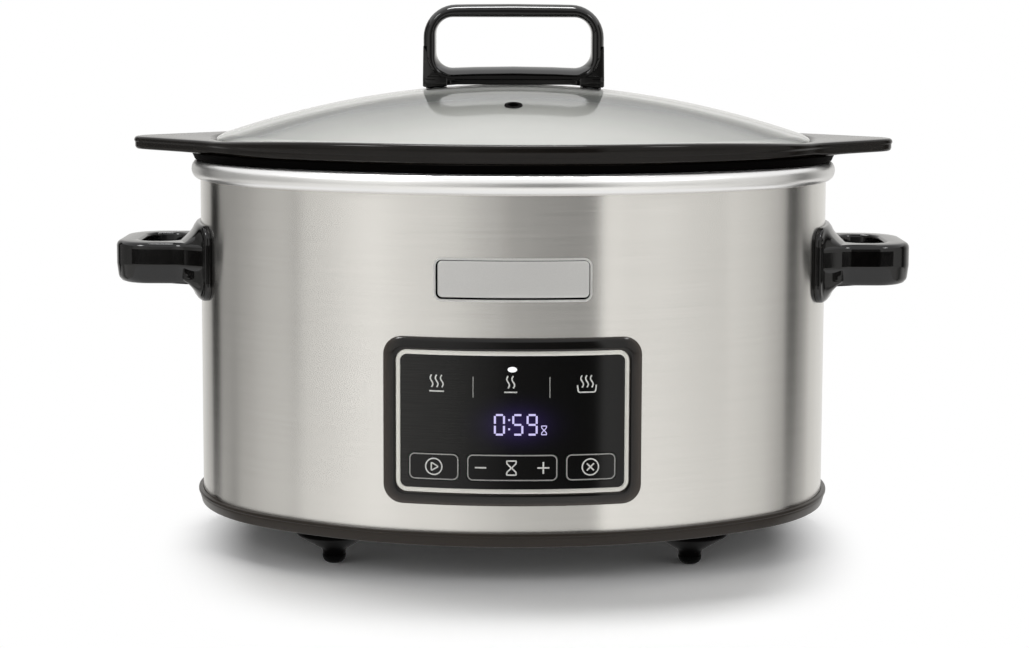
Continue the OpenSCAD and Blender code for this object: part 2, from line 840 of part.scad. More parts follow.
module control_board() {
  color(BOARD)
  difference() {
    front_prism(neck_w - 2, neck_h - 2, 3, panel_z, board_y - board_t, board_y);
    control_board_spots() translate([0, 0, -3]) cylinder(r = 1.4, h = 4);
  }
}

module control_board_screws() {
  color(ZINC)
  control_board_spots() {
    translate([0, 0, -board_t - 1.5]) cylinder(r = 2.2, h = 1.5);
    translate([0, 0, -board_t]) cylinder(r = 1, h = board_t + 3);
  }
}

// The front of a flat-faced part that stands just behind the fascia, half wide on either side of x
function behind_fascia(x, half) = -front_y(abs(x) + half, fascia_in) - 0.25;

display_w = 54;
display_h = 15;
display_drop = 8;

module display_module() {
  half = display_w / 2;
  color("#0c0c0e")
  translate([-half, -behind_fascia(0, half), panel_z - display_drop])
    cube([display_w, behind_fascia(0, half) - board_y, display_h]);
}

light_in = 17.55;
light_up = 25.5;
light_x = fascia_w / 2 - light_in;
light_z = panel_z + light_up;

module indicator_lights() {
  half = 2.6;
  color("#f2f4ff")
  for (x = [-light_x, 0, light_x])
    translate([x - half, -behind_fascia(x, half), light_z - 1.6])
      cube([2 * half, behind_fascia(x, half) - board_y, 3.2]);
}

timer_switch_in = 7.6;
timer_switch_x = timer_w / 2 - timer_switch_in;
switch_x = [-key_x, -timer_switch_x, timer_switch_x, key_x];
switch_size = 6;
switch_h = 2.6;
plunger_r = 1.6;
plunger_out = 1.1;

module switch_plunger(x) {
  color("#d9d4c8")
  translate([x, -board_y - 1.4, key_z]) rotate([90, 0, 0]) cylinder(r = plunger_r, h = switch_h - 1.4 + plunger_out);
}

module key_switches() {
  color("#3a3a3c")
  for (x = switch_x) difference() {
    translate([x - switch_size / 2, -board_y - switch_h, key_z - switch_size / 2])
      cube([switch_size, switch_h, switch_size]);
    translate([x, -board_y - 0.6, key_z]) rotate([90, 0, 0]) cylinder(r = plunger_r + 0.15, h = switch_h);
  }
}

// A key cap bent to the panel, with a stem that reaches back to its switch
module key_cap(x, w, stems) {
  color(BLACK)
  union() {
    front_plate(w, key_h, 2.8, key_z, fascia_in + 0.2, fascia_out + 0.2, x);
    for (s = stems) intersection() {
      translate([s, -board_y - switch_h - plunger_out, key_z]) rotate([90, 0, 0]) cylinder(r = 1.8, h = 12);
      front_drum(fascia_in + 0.6);
    }
  }
}

module start_key() {
  key_cap(-key_x, key_w, [-key_x]);
}

module cancel_key() {
  key_cap(key_x, key_w, [key_x]);
}

module timer_key() {
  rib_half = key_h / 2 - 0.2;
  color(BLACK)
  difference() {
    union() {
      key_cap(0, timer_w, [switch_x[1], switch_x[2]]);
      translate([-1.6, -pin_y - 1 - (body_b + fascia_in - pin_y), key_z - rib_half])
        cube([3.2, body_b + fascia_in - pin_y + 1, 2 * rib_half]);
      translate([0, -pin_y, key_z - rib_half]) cylinder(r = 1.6, h = 2 * rib_half);
    }
    translate([0, -pin_y, key_z - 20]) cylinder(r = pin_r + 0.05, h = 40);
  }
}

module start_plunger() {
  switch_plunger(switch_x[0]);
}

module timer_plungers() {
  switch_plunger(switch_x[1]);
  switch_plunger(switch_x[2]);
}

module cancel_plunger() {
  switch_plunger(switch_x[3]);
}

/* Cooking pot */

module cooking_pot() {
  wall_top = 14.5;
  wall_low = 25;
  neck_flare = 1.8;
  ear_low = ear_top - ear_t;
  tip_x = ear_reach - ear_tip_r;
  root_x = pot_a - 13.5;
  reach = norm([tip_x - root_x, ear_root]);
  lean = atan2(ear_root, root_x - tip_x) - acos(ear_tip_r / reach);
  touch = [tip_x + ear_tip_r * cos(lean), ear_tip_r * sin(lean)];
  color(BLACK)
  union() {
    pot_sweep() polygon([[-0.6, rim_top], [0, rim_top - 0.7], [0, rim_top - 5.2], [-0.9, rim_top - 5.8],
      [-0.9, ear_low], [-8, ear_low], [-8, pot_seat], [-wall_top, pot_seat],
      [-wall_low, pot_floor + 8], [-wall_low - 3, pot_floor + 2.5], [-wall_low - 8, pot_floor],
      [-wall_low - 20, pot_floor], [-wall_low - 20, pot_floor + pot_t], [-wall_low - 9, pot_floor + pot_t],
      [-wall_low - pot_t - 1.6, pot_floor + pot_t + 2], [-wall_low - pot_t, pot_floor + pot_t + 6],
      [-wall_top - pot_t, pot_seat + 2], [-wall_top - 1.6, ledge_z], [-lid_edge_in + lid_gap, ledge_z],
      [-lid_edge_in + lid_gap, rim_top - 1.8], [-6.6, rim_top]]);
    translate([0, 0, pot_floor]) oval_plate(pot_a, pot_b, -wall_low - 10, pot_t);
    oval_sweep(neck_a, neck_b) polygon([[0, pot_seat], [neck_flare, ear_low],
      [neck_flare, ear_low + 0.9], [-7, ear_low + 0.9], [-7, pot_seat]]);
    for (side = [0, 180]) rotate(side) difference() {
      translate([0, 0, ear_low]) linear_extrude(ear_t) {
        translate([tip_x, 0]) circle(ear_tip_r);
        polygon([touch, [root_x, ear_root], [root_x - 30, ear_root + 16], [root_x - 30, -ear_root - 16],
          [root_x, -ear_root], [touch[0], -touch[1]]]);
      }
      translate([end_centre(pot_a, pot_b), 0, ear_low - 1])
        cylinder(r = end_radius(pot_a, pot_b) - 5, h = ear_t + 2, $fn = 180);
      translate([0, -pot_b, ear_low - 1]) cube([root_x - 15, 2 * pot_b, ear_t + 2]);
    }
  }
}

/* Lid */

// The dome: height above the glass edge at a fraction u of the way from the middle to the edge
function dome(u) = dome_h * (1 - u * u);
dome_top = glass_z + glass_t + dome_h;
lid_screw_x = 40;
glass_hole_r = 2.6;

module glass_lid() {
  // Steps round each quarter: on the end arc, then on the long arc
  end_steps = 9;
  side_steps = 7;
  spokes = 4 * (end_steps + side_steps);
  rings = 9;
  turn = atan2(3, 4);
  quarter = concat([for (k = [0:end_steps - 1]) (90 - turn) * k / end_steps],
    [for (k = [0:side_steps - 1]) 90 - turn + turn * k / side_steps]);
  half_turn = concat(quarter, [90], [for (k = [len(quarter) - 1:-1:1]) 180 - quarter[k]]);
  around = concat(half_turn, [for (t = half_turn) t + 180]);
  function dome_point(k, i, lift) = let (u = k / rings, p = oval_point(pot_a, pot_b, around[i]), n = around[i])
    [u * (p.x - lid_edge_in * cos(n)), u * (p.y - lid_edge_in * sin(n)), glass_z + dome(u) + lift];
  layer = spokes * rings;
  points = concat(
    [for (k = [1:rings], i = [0:spokes - 1]) dome_point(k, i, glass_t)],
    [for (k = [1:rings], i = [0:spokes - 1]) dome_point(k, i, 0)],
    [dome_point(0, 0, glass_t), dome_point(0, 0, 0)]);
  function at(low, k, i) = low * layer + (k - 1) * spokes + i % spokes;
  faces = concat(
    [for (i = [0:spokes - 1]) [2 * layer, at(0, 1, i), at(0, 1, i + 1)]],
    [for (i = [0:spokes - 1]) [2 * layer + 1, at(1, 1, i + 1), at(1, 1, i)]],
    [for (k = [1:rings - 1], i = [0:spokes - 1]) each [
      [at(0, k, i), at(0, k + 1, i), at(0, k + 1, i + 1)],
      [at(0, k, i), at(0, k + 1, i + 1), at(0, k, i + 1)],
      [at(1, k, i), at(1, k + 1, i + 1), at(1, k + 1, i)],
      [at(1, k, i), at(1, k, i + 1), at(1, k + 1, i + 1)]]],
    [for (i = [0:spokes - 1]) each [
      [at(0, rings, i), at(1, rings, i), at(1, rings, i + 1)],
      [at(0, rings, i), at(1, rings, i + 1), at(0, rings, i + 1)]]]);
  color("#bcd0d0", 0.5)
  difference() {
    polyhedron(points, faces);
    for (x = [-1, 1] * lid_screw_x) translate([x, 0, glass_z]) cylinder(r = glass_hole_r, h = 60);
    vent_frame() translate([0, 0, -15]) cylinder(d = vent_d, h = 30);
  }
}

// Stands children on the glass at the steam vent, square to the dome
module vent_frame() {
  u = vent_y / glass_b;
  slope = atan(2 * dome_h * u / glass_b);
  translate([0, -vent_y, glass_z + glass_t + dome(u)]) rotate([slope, 0, 0]) children();
}

module vent_eyelet() {
  bore_r = vent_d / 2 - 1.1;
  color("#55565a")
  vent_frame() rotate_extrude() polygon([[bore_r, -glass_t - 0.4], [vent_d / 2 - slip, -glass_t - 0.4],
    [vent_d / 2 - slip, 0.15], [vent_d / 2 + 0.9, 0.15], [vent_d / 2 + 0.7, 0.6], [bore_r, 0.6]]);
}

gasket_t = 1.2;
gasket_r = 5.4;
gasket_tall = 4;
// The handle's underside is hollowed to the dome's curve along X
dome_x_r = glass_a * glass_a / (2 * dome_h);

module lid_handle() {
  opening_low = dome_top + grip_stand;
  grip_top = opening_low + grip_open + grip_t;
  foot_low = glass_z + glass_t + dome(grip_w / 2 / glass_a) + gasket_t - 0.6;
  slot_h = 4.4;
  inner_w = grip_w - 2 * grip_t;
  color(BLACK)
  difference() {
    translate([0, grip_d / 2, (grip_top + foot_low) / 2]) rotate([90, 0, 0]) linear_extrude(grip_d)
      union() {
        round_rect(grip_w, grip_top - foot_low, grip_r);
        translate([-grip_w / 2, -(grip_top - foot_low) / 2]) square([grip_w, grip_r + 2]);
      }
    translate([0, grip_d, opening_low + grip_open / 2]) rotate([90, 0, 0]) linear_extrude(2 * grip_d)
      round_rect(inner_w, grip_open, grip_r - 4);
    for (y = [-grip_d, grip_d / 2 - 5]) translate([-inner_w / 2 + 6, y, opening_low - 5.4 - slot_h])
      cube([inner_w - 12, grip_d / 2 + 5, slot_h]);
    translate([0, grip_d, dome_top + gasket_t - dome_x_r]) rotate([90, 0, 0])
      cylinder(r = dome_x_r, h = 2 * grip_d, $fn = 360);
    for (x = [-1, 1] * lid_screw_x) translate([x, 0, dome_top - 10]) cylinder(r = 2.1, h = 19);
  }
}

lid_seat = glass_z + glass_t + dome(lid_screw_x / glass_a);

washer_h = 1.4;
washer_top = lid_seat - glass_t - 0.6;
lid_screw_r = 2;

module lid_gaskets() {
  color("#2a2a2a") {
    for (x = [-1, 1] * lid_screw_x) {
      intersection() {
        difference() {
          translate([x, 0, lid_seat - 2]) cylinder(r = gasket_r, h = gasket_tall + 2);
          translate([x, 0, lid_seat - 3]) cylinder(r = lid_screw_r + 0.2, h = gasket_tall + 5);
        }
        difference() {
          translate([0, grip_d, dome_top + gasket_t - slip - dome_x_r]) rotate([90, 0, 0])
            cylinder(r = dome_x_r, h = 2 * grip_d, $fn = 360);
          translate([0, grip_d, dome_top + 0.15 - dome_x_r]) rotate([90, 0, 0])
            cylinder(r = dome_x_r, h = 2 * grip_d, $fn = 360);
        }
      }
      translate([x, 0, washer_top - washer_h]) rotate_extrude() polygon([[lid_screw_r + 0.2, 0], [3.5, 0],
        [4.6, washer_h], [lid_screw_r + 0.2, washer_h]]);
    }
  }
}

lid_screw_up = 7;

module lid_screws() {
  under = washer_top - washer_h;
  color(ZINC)
  for (x = [-1, 1] * lid_screw_x) {
    translate([x, 0, under - 3]) cylinder(r = 3.1, h = 3);
    translate([x, 0, under]) cylinder(r = lid_screw_r, h = dome_top + lid_screw_up - under);
  }
}

outer_sleeve();
rear_seam_strip();
top_ring();
base_ring();
bottom_plate();
foot_front_left();
foot_front_right();
foot_rear_left();
foot_rear_right();
foot_pads();
foot_screws();
bottom_screws();
heating_well();
heating_band();
heater_strap();
thermal_fuse();
fuse_clip();
pot_sensor();
sensor_spring();
sensor_bracket();
tie_rods();
tie_nuts();
heater_leads();
power_board();
power_board_screws();
relay();
transformer();
capacitors();
ribbon_cable();
cord_gland();
gland_nut();
side_handle_left();
side_handle_right();
handle_plates();
handle_screws();
badge_plate();
panel_bezel();
panel_trim();
panel_fascia();
panel_clips();
control_board();
control_board_screws();
display_module();
indicator_lights();
key_switches();
timer_key_pin();
start_key();
start_plunger();
timer_key();
timer_plungers();
cancel_key();
cancel_plunger();
cooking_pot();
glass_lid();
lid_handle();
lid_gaskets();
lid_screws();
vent_eyelet();
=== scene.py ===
"""An oval digital slow cooker, dressed for show.

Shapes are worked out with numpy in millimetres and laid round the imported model, which gives the
bodies, the joints and the inner pieces. The front is towards -Y and the table is at height 0.
"""

import math

import bmesh
import bpy
import numpy as np
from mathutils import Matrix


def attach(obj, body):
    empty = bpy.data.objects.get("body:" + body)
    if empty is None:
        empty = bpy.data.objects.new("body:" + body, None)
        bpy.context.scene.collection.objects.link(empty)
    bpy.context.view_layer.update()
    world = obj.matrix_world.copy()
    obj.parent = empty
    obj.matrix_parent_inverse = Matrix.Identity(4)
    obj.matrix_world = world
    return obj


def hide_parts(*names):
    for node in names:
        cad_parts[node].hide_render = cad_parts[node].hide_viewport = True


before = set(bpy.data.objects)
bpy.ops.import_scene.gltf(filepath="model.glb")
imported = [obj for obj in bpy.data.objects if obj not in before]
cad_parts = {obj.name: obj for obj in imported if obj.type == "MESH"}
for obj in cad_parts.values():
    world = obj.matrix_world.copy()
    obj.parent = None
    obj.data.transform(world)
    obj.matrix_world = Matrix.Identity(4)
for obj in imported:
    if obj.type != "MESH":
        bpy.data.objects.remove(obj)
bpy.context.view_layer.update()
scene = bpy.context.scene

# ------------------------------------------------------------
# Camera: a long lens 1.2 m in front of the cooker's middle, a little above its lid, turned about six
# degrees down and shifted so that the cooker stands in the middle of the frame.
lens_data = bpy.data.cameras.new("camera")
lens_data.lens = 80.8
lens_data.sensor_width = 36.0
lens_data.shift_x = 0.0007
lens_data.shift_y = -0.08
camera = bpy.data.objects.new("camera", lens_data)
camera.location = (0.0, -1.2, 0.2788)
camera.rotation_euler = (math.radians(90.0 - 6.02), -0.0032, 0.0)
scene.collection.objects.link(camera)
scene.camera = camera
scene.view_settings.view_transform = "Standard"


# ------------------------------------------------------------
# Studio: a pale floor that keeps the cooker's shadow near it and fades to painted white further out, a white
# surround, five soft lamps, and a round tent of white and grey cloth with two black cards in front of it, seen only
# in reflections.
class Shade:
    """One socket of a material's nodes. Sums on it add Math nodes; node() adds any other node."""

    def __init__(self, tree, socket=None):
        self.tree = tree
        self.socket = socket

    def node(self, kind, settings=None, sockets=None, output=0):
        """Adds a node: its settings first, then the values or links of its sockets."""
        made = self.tree.nodes.new(kind)
        for name, value in (settings or {}).items():
            if name == "stops":
                ramp = made.color_ramp.elements
                ramp[0].position, ramp[1].position = value[0][0], value[-1][0]
                ramp[0].color, ramp[1].color = (*value[0][1], 1.0), (*value[-1][1], 1.0)
                for place, colour in value[1:-1]:
                    ramp.new(place).color = (*colour, 1.0)
            else:
                setattr(made, name, value)
        for name, value in (sockets or {}).items():
            if isinstance(value, Shade):
                self.tree.links.new(value.socket, made.inputs[name])
            elif made.inputs[name].type == "RGBA":
                made.inputs[name].default_value = (*value, 1.0)
            else:
                made.inputs[name].default_value = value
        return Shade(self.tree, made.outputs[output] if made.outputs else None)

    def maths(self, operation, *values):
        return self.node("ShaderNodeMath", {"operation": operation}, dict(enumerate(values)))

    def mix(self, low, high):
        """A colour between two, by this value from 0 to 1."""
        return self.node("ShaderNodeMix", {"data_type": "RGBA"}, {0: self, 6: low, 7: high}, output=2)

    def ranged(self, first, last, low=0.0, high=1.0):
        """This value carried from between first and last to between low and high."""
        return self.node("ShaderNodeMapRange", sockets={
            "Value": self, "From Min": first, "From Max": last, "To Min": low, "To Max": high})

    def axis(self, number):
        return self.node("ShaderNodeSeparateXYZ", sockets={"Vector": self}, output=number)

    def surface(self, sockets):
        return self.node("ShaderNodeBsdfPrincipled", sockets=sockets)

    def __add__(self, other):
        return self.maths("ADD", self, other)

    __radd__ = __add__

    def __mul__(self, other):
        return self.maths("MULTIPLY", self, other)

    __rmul__ = __mul__

    def __sub__(self, other):
        return self.maths("SUBTRACT", self, other)

    def __rsub__(self, other):
        return self.maths("SUBTRACT", other, self)


def new_finish(name):
    """An empty node material, and the start of its sums."""
    made = bpy.data.materials.new(name)
    made.use_nodes = True
    made.node_tree.nodes.clear()
    return made, Shade(made.node_tree)


def object_point(start):
    """Where a point lies in its own piece, in metres."""
    return start.node("ShaderNodeTexCoord", output=3)


def close_finish(start, shader):
    """Joins a shader to the material's output."""
    start.node("ShaderNodeOutputMaterial", sockets={"Surface": shader})


def tent_brightness(start):
    """How bright the tent is: greys by direction from a little below the table up, and a lighter run further down.

    Directions are degrees seen from the cooker, with 0 at the front and 90 on the right; the radial gradient
    counts them from the left, as shares of a whole turn.
    """
    spot = object_point(start)
    turn = start.node("ShaderNodeTexGradient", {"gradient_type": "RADIAL"}, {"Vector": spot}, output=1)
    greys = ((-180, 0.84), (-160, 0.76), (-146, 0.60), (-135, 0.42), (-132, 0.02), (-124, 0.02), (-119, 0.32),
             (-88, 0.43), (-72, 0.56), (-67, 0.48), (-64, 0.77), (-54, 0.85), (-40, 1.00), (-18, 0.775),
             (-6, 0.43), (0, 0.24), (19, 0.145), (25, 0.155), (26, 1.07), (34, 0.90), (66, 0.82), (80, 0.68),
             (91, 0.58), (97, 0.45), (101, 0.10), (107, 0.05), (112, 0.20), (120, 0.40), (128, 0.68), (142, 0.78))
    ends = [(((azimuth + 90) % 360) / 360, azimuth, (grey, grey * 0.99, grey * 0.965)) for azimuth, grey in greys]
    ends += [(place, 0, (0.41, 0.406, 0.396)) for place in (0.0, 1.0)]
    high = start.node("ShaderNodeValToRGB", {"stops": [(place, grey) for place, _, grey in sorted(ends)]},
                      {"Fac": turn})
    grey, dark, pale, bright = (0.76, 0.75, 0.73), (0.24, 0.24, 0.23), (0.88, 0.87, 0.85), (1.14, 1.13, 1.10)
    low = start.node("ShaderNodeValToRGB", {"stops": [
        (0.0, grey), (0.12, (0.97, 0.96, 0.935)), (0.25, bright), (0.31, bright), (0.36, (1.06, 1.05, 1.02)),
        (0.48, (0.72, 0.71, 0.69)), (0.52, dark), (0.56, pale), (0.90, pale), (0.95, dark), (0.97, grey),
        (1.0, grey)]}, {"Fac": turn})
    return spot.axis(2).ranged(-1.40, -1.12).mix(low, high)


def hang(name, rows, faces, finish, unseen):
    """A hanging cloth: rows of points joined by faces, hidden from some kinds of ray."""
    cloth = bpy.data.meshes.new(name)
    cloth.from_pydata(np.concatenate(rows).tolist(), [], faces)
    cloth.materials.append(finish)
    held = bpy.data.objects.new(name, cloth)
    scene.collection.objects.link(held)
    for ray in unseen:
        setattr(held, "visible_" + ray, False)
    return held


def tent(radius, bottom, top, sides=72):
    """A round tent of white and grey cloth about the cooker, seen only in the reflections of its polished pieces."""
    finish, start = new_finish("tent_cloth")
    light = start.node("ShaderNodeEmission", sockets={"Color": tent_brightness(start), "Strength": 1.0})
    close_finish(start, light)
    turn = np.linspace(0, 2 * np.pi, sides, endpoint=False)
    rows = [np.column_stack([radius * np.cos(turn), radius * np.sin(turn), np.full(sides, height)])
            for height in (bottom, top)]
    faces = [(i, (i + 1) % sides, sides + (i + 1) % sides, sides + i) for i in range(sides)]
    held = hang("tent", rows, faces, finish, ("camera", "diffuse", "transmission", "shadow", "volume_scatter"))


def card(name, first, last, low, high, radius=4.9, strips=12):
    """A black card bent along the tent between two directions, mirrored by the upright face of a side handle.

    Shadow rays see it, so that the light sampled from the tent behind it is blocked as its reflection is.
    """
    finish, start = new_finish(name)
    close_finish(start, start.node("ShaderNodeBsdfDiffuse", sockets={"Color": (0.004, 0.004, 0.004)}))
    turn = np.radians(np.linspace(first, last, strips + 1))
    rows = [np.column_stack([radius * np.sin(turn), -radius * np.cos(turn), np.full(strips + 1, height)])
            for height in (low, high)]
    faces = [(i, i + 1, i + strips + 2, i + strips + 1) for i in range(strips)]
    held = hang(name, rows, faces, finish, ("camera", "diffuse", "transmission", "volume_scatter"))


def lamp(name, place, aim, size, power, lights, mirrored):
    """A soft rectangular lamp turned to face a point. It lights dull surfaces, or shows in polished ones, or both."""
    data = bpy.data.lights.new(name, "AREA")
    data.shape = "RECTANGLE"
    data.size, data.size_y = size
    data.energy = power
    held = bpy.data.objects.new(name, data)
    held.location = place
    away = [p - a for p, a in zip(place, aim)]
    flat = math.hypot(away[0], away[1])
    held.rotation_euler = (math.atan2(flat, away[2]), 0.0, math.atan2(away[0], -away[1]))
    held.visible_diffuse = lights
    held.visible_glossy = mirrored
    scene.collection.objects.link(held)


floor_size = 6.0
floor_mesh = bpy.data.meshes.new("floor")
floor_mesh.from_pydata([(-floor_size, -floor_size, 0), (floor_size, -floor_size, 0),
                        (floor_size, floor_size, 0), (-floor_size, floor_size, 0)], [], [(0, 1, 2, 3)])
floor_finish, start = new_finish("floor_paper")
paper = start.node("ShaderNodeBsdfDiffuse", sockets={
    "Color": start.node("ShaderNodeLightPath", output=0).mix((0.80, 0.80, 0.79), (1.10, 1.10, 1.10))})
# Past an oval round the cooker, camera rays see the floor glow plain white: painted light that wipes out the outer
# edges of its real shadow.
near = start.node("ShaderNodeMapping", sockets={
    "Vector": object_point(start), "Scale": (1 / 0.190, 1 / 0.315, 1.0)})
far = start.node("ShaderNodeVectorMath", {"operation": "LENGTH"}, {0: near}, output=1)
painted_light_fade = start.node("ShaderNodeMapRange", {"interpolation_type": "SMOOTHSTEP"}, {
    "Value": far, "From Min": 0.69, "From Max": 0.97})
white = start.node("ShaderNodeEmission", sockets={"Color": (1.0, 1.0, 1.0), "Strength": 1.0})
close_finish(start, start.node("ShaderNodeMixShader", sockets={
    0: painted_light_fade * start.node("ShaderNodeLightPath", output=0), 1: paper, 2: white}))
floor_mesh.materials.append(floor_finish)
floor = bpy.data.objects.new("floor", floor_mesh)
floor.visible_glossy = False
scene.collection.objects.link(floor)

surround = bpy.data.worlds.new("surround")
surround.use_nodes = True
surround.node_tree.nodes.clear()
start = Shade(surround.node_tree)
seen = start.node("ShaderNodeLightPath", output=0)
glossy = start.node("ShaderNodeLightPath", output=3)
through = start.node("ShaderNodeLightPath", output=6)
direct = start.maths("MAXIMUM", start.maths("MAXIMUM", seen, glossy), through)
glow = start.node("ShaderNodeBackground", sockets={"Color": direct.mix((0.31, 0.31, 0.31), (1, 1, 1))})
start.node("ShaderNodeOutputWorld", sockets={"Surface": glow})
scene.world = surround

lamp("lamp_top", (-0.10, 0.27, 1.5), (0.0, 0.0, 0.15), (0.70, 0.30), 13.5, True, True)
lamp("lamp_left", (-1.3, -0.9, 0.9), (0.0, 0.0, 0.1), (0.7, 0.9), 3.0, True, False)
lamp("lamp_glint_left", (-1.2, -0.9, 1.5), (0.0, 0.0, 0.15), (0.45, 0.45), 8.0, False, True)
lamp("lamp_glint_right", (1.2, -0.9, 1.5), (0.0, 0.0, 0.15), (0.34, 0.34), 4.5, False, True)
lamp("lamp_right", (1.3, -0.8, 0.9), (0.0, 0.0, 0.1), (0.7, 0.9), 3.0, True, False)
tent(5.0, -4.0, 2.4)
card("card_left", -68, -6, -0.48, -0.30)
card("card_right", 6, 66, -0.48, -0.30)


# ------------------------------------------------------------
# Sleeve: one sheet of brushed stainless steel rolled to an oval and closed at the back. It stands in
# the base ring's groove, the rim ring hooks over it, and the panel is set in a window at the front.
MM = 0.001
BODY = (162.0, 120.0)
SEAM = math.degrees(math.atan2(4, 3))


def oval_normals(end_steps, side_steps):
    """Directions of the outward normal round an oval of four arcs, evenly spaced along each arc."""
    arcs = ((-SEAM, SEAM, end_steps), (SEAM, 180 - SEAM, side_steps),
            (180 - SEAM, 180 + SEAM, end_steps), (180 + SEAM, 360 - SEAM, side_steps))
    return np.radians(np.concatenate([np.linspace(a, b, n, endpoint=False) for a, b, n in arcs]))


def oval(half_sizes, offset, normals):
    """Points of an oval: the centre of each arc plus its radius and the offset, along the normal.

    The end arcs, whose normals lie within the seams' (3, 4) lines, have radius 1.5 b - 0.5 a and centres
    1.5 (a - b) out along x; the long arcs have radius 2 a - b and centres 2 (a - b) across along y.
    """
    a, b = half_sizes
    c, s = np.cos(normals), np.sin(normals)
    end = np.abs(c) > 0.6
    radius = np.where(end, 1.5 * b - 0.5 * a, 2 * a - b) + offset
    x = np.where(end, np.sign(c) * 1.5 * (a - b), 0.0) + radius * c
    y = np.where(end, 0.0, -np.sign(s) * 2 * (a - b)) + radius * s
    return np.stack(np.broadcast_arrays(x, y), axis=-1)


def sweep_oval(half_sizes, profile, normals):
    """A profile of (offset, height) carried round an oval: rows follow the profile, columns the oval."""
    offsets, heights = np.asarray(profile, float).T
    plan = oval(half_sizes, offsets[:, None], normals[None, :])
    return np.dstack([plan, np.broadcast_to(heights[:, None], plan.shape[:2])])


def rounded(corners, radii, steps=5):
    """A closed outline whose corners are arcs: each arc starts radius / tan(half the corner's angle) from it."""
    corners, radii = np.asarray(corners, float), np.broadcast_to(np.asarray(radii, float), len(corners))
    back, ahead = np.roll(corners, 1, axis=0) - corners, np.roll(corners, -1, axis=0) - corners
    back /= np.linalg.norm(back, axis=1, keepdims=True)
    ahead /= np.linalg.norm(ahead, axis=1, keepdims=True)
    half = np.arccos(np.clip(np.sum(back * ahead, axis=1), -1, 1)) / 2
    middle = (back + ahead) / np.linalg.norm(back + ahead, axis=1, keepdims=True)
    centre = corners + middle * (radii / np.sin(half))[:, None]
    reach = (radii / np.tan(half))[:, None]
    first, last = corners + back * reach - centre, corners + ahead * reach - centre
    turn = (math.pi - 2 * half)[:, None]
    share = np.linspace(0, 1, steps)[None, :]
    mixed = (np.sin((1 - share) * turn)[..., None] * first[:, None, :]
             + np.sin(share * turn)[..., None] * last[:, None, :]) / np.sin(turn)[..., None]
    return (centre[:, None, :] + mixed).reshape(-1, 2)


def make_piece(name, patches, finish, sharp=32.0):
    """One object from patches, each a grid of points in millimetres and whether its rows and columns close.

    Neighbouring points are joined by quads, shared points are welded, faces are turned outwards and
    edges steeper than an angle are marked sharp.
    """
    points, faces, count = [], [], 0
    for grid, rows_close, columns_close in patches:
        rows, columns = grid.shape[:2]
        number = count + np.arange(rows * columns).reshape(rows, columns)
        number = np.vstack([number, number[:1]]) if rows_close else number
        number = np.hstack([number, number[:, :1]]) if columns_close else number
        quads = [number[:-1, :-1], number[1:, :-1], number[1:, 1:], number[:-1, 1:]]
        faces.append(np.stack(quads, -1).reshape(-1, 4))
        points.append(grid.reshape(-1, 3))
        count += rows * columns
    mesh = bpy.data.meshes.new(name)
    mesh.from_pydata((np.concatenate(points) * MM).tolist(), [], np.concatenate(faces).tolist())
    work = bmesh.new()
    work.from_mesh(mesh)
    bmesh.ops.remove_doubles(work, verts=work.verts, dist=2e-6)
    bmesh.ops.recalc_face_normals(work, faces=work.faces)
    work.to_mesh(mesh)
    work.free()
    mesh.shade_smooth()
    mesh.set_sharp_from_angle(angle=math.radians(sharp))
    mesh.materials.append(finish)
    made = bpy.data.objects.new(name, mesh)
    scene.collection.objects.link(made)
    return made


def noise(start, stretch, detail=3.0, roughness=0.55):
    """Noise from 0 to 1 whose grain is one over the stretch, in metres, on all axes or on each."""
    point = start.node("ShaderNodeMapping", sockets={
        "Vector": object_point(start), "Scale": np.broadcast_to(stretch, 3).tolist()})
    return start.node("ShaderNodeTexNoise", sockets={
        "Vector": point, "Scale": 1.0, "Detail": detail, "Roughness": roughness})


def bump(start, height, depth):
    """A relief of a depth in metres."""
    return start.node("ShaderNodeBump", sockets={"Height": height, "Distance": depth, "Strength": 1.0})


steel, start = new_finish("sleeve_brushed_steel")
long_brush = noise(start, (22.0, 22.0, 2600.0), 4.0, 0.7)
broad_brush = noise(start, (9.0, 9.0, 420.0), 2.0)
haze = noise(start, (14.0, 14.0, 18.0), 2.0)
brush = long_brush * 0.65 + broad_brush * 0.35
close_finish(start, start.surface({
    "Base Color": brush.mix((0.71, 0.695, 0.665), (0.80, 0.785, 0.755)), "Metallic": 1.0,
    "Roughness": 0.215 + (brush - 0.5) * 0.07 + (haze - 0.5) * 0.03, "Anisotropic": 0.95,
    "Anisotropic Rotation": 0.25, "Normal": bump(start, long_brush, 0.000005)}))

around = oval_normals(54, 78)
sleeve_profile = [(-0.6, 23.2), (0.0, 23.2), (0.0, 105.0), (0.0, 190.0), (-0.6, 190.0), (-0.6, 105.0)]
sleeve = make_piece("sleeve", [(sweep_oval(BODY, sleeve_profile, around), True, True)], steel)


def drill(made, patches, sharp):
    """Cuts patches out of a piece, once the open ends of each are filled."""
    cutter = make_piece("cutter", patches, made.data.materials[0])
    work = bmesh.new()
    work.from_mesh(cutter.data)
    bmesh.ops.holes_fill(work, edges=work.edges)
    bmesh.ops.recalc_face_normals(work, faces=work.faces)
    work.to_mesh(cutter.data)
    work.free()
    cut = made.modifiers.new("cut", "BOOLEAN")
    cut.operation, cut.solver, cut.object = "DIFFERENCE", "EXACT", cutter
    bpy.context.view_layer.update()
    finished = bpy.data.meshes.new_from_object(made.evaluated_get(bpy.context.evaluated_depsgraph_get()))
    made.modifiers.clear()
    made.data = finished
    bpy.data.objects.remove(cutter)
    made.data.set_sharp_from_angle(angle=math.radians(sharp))


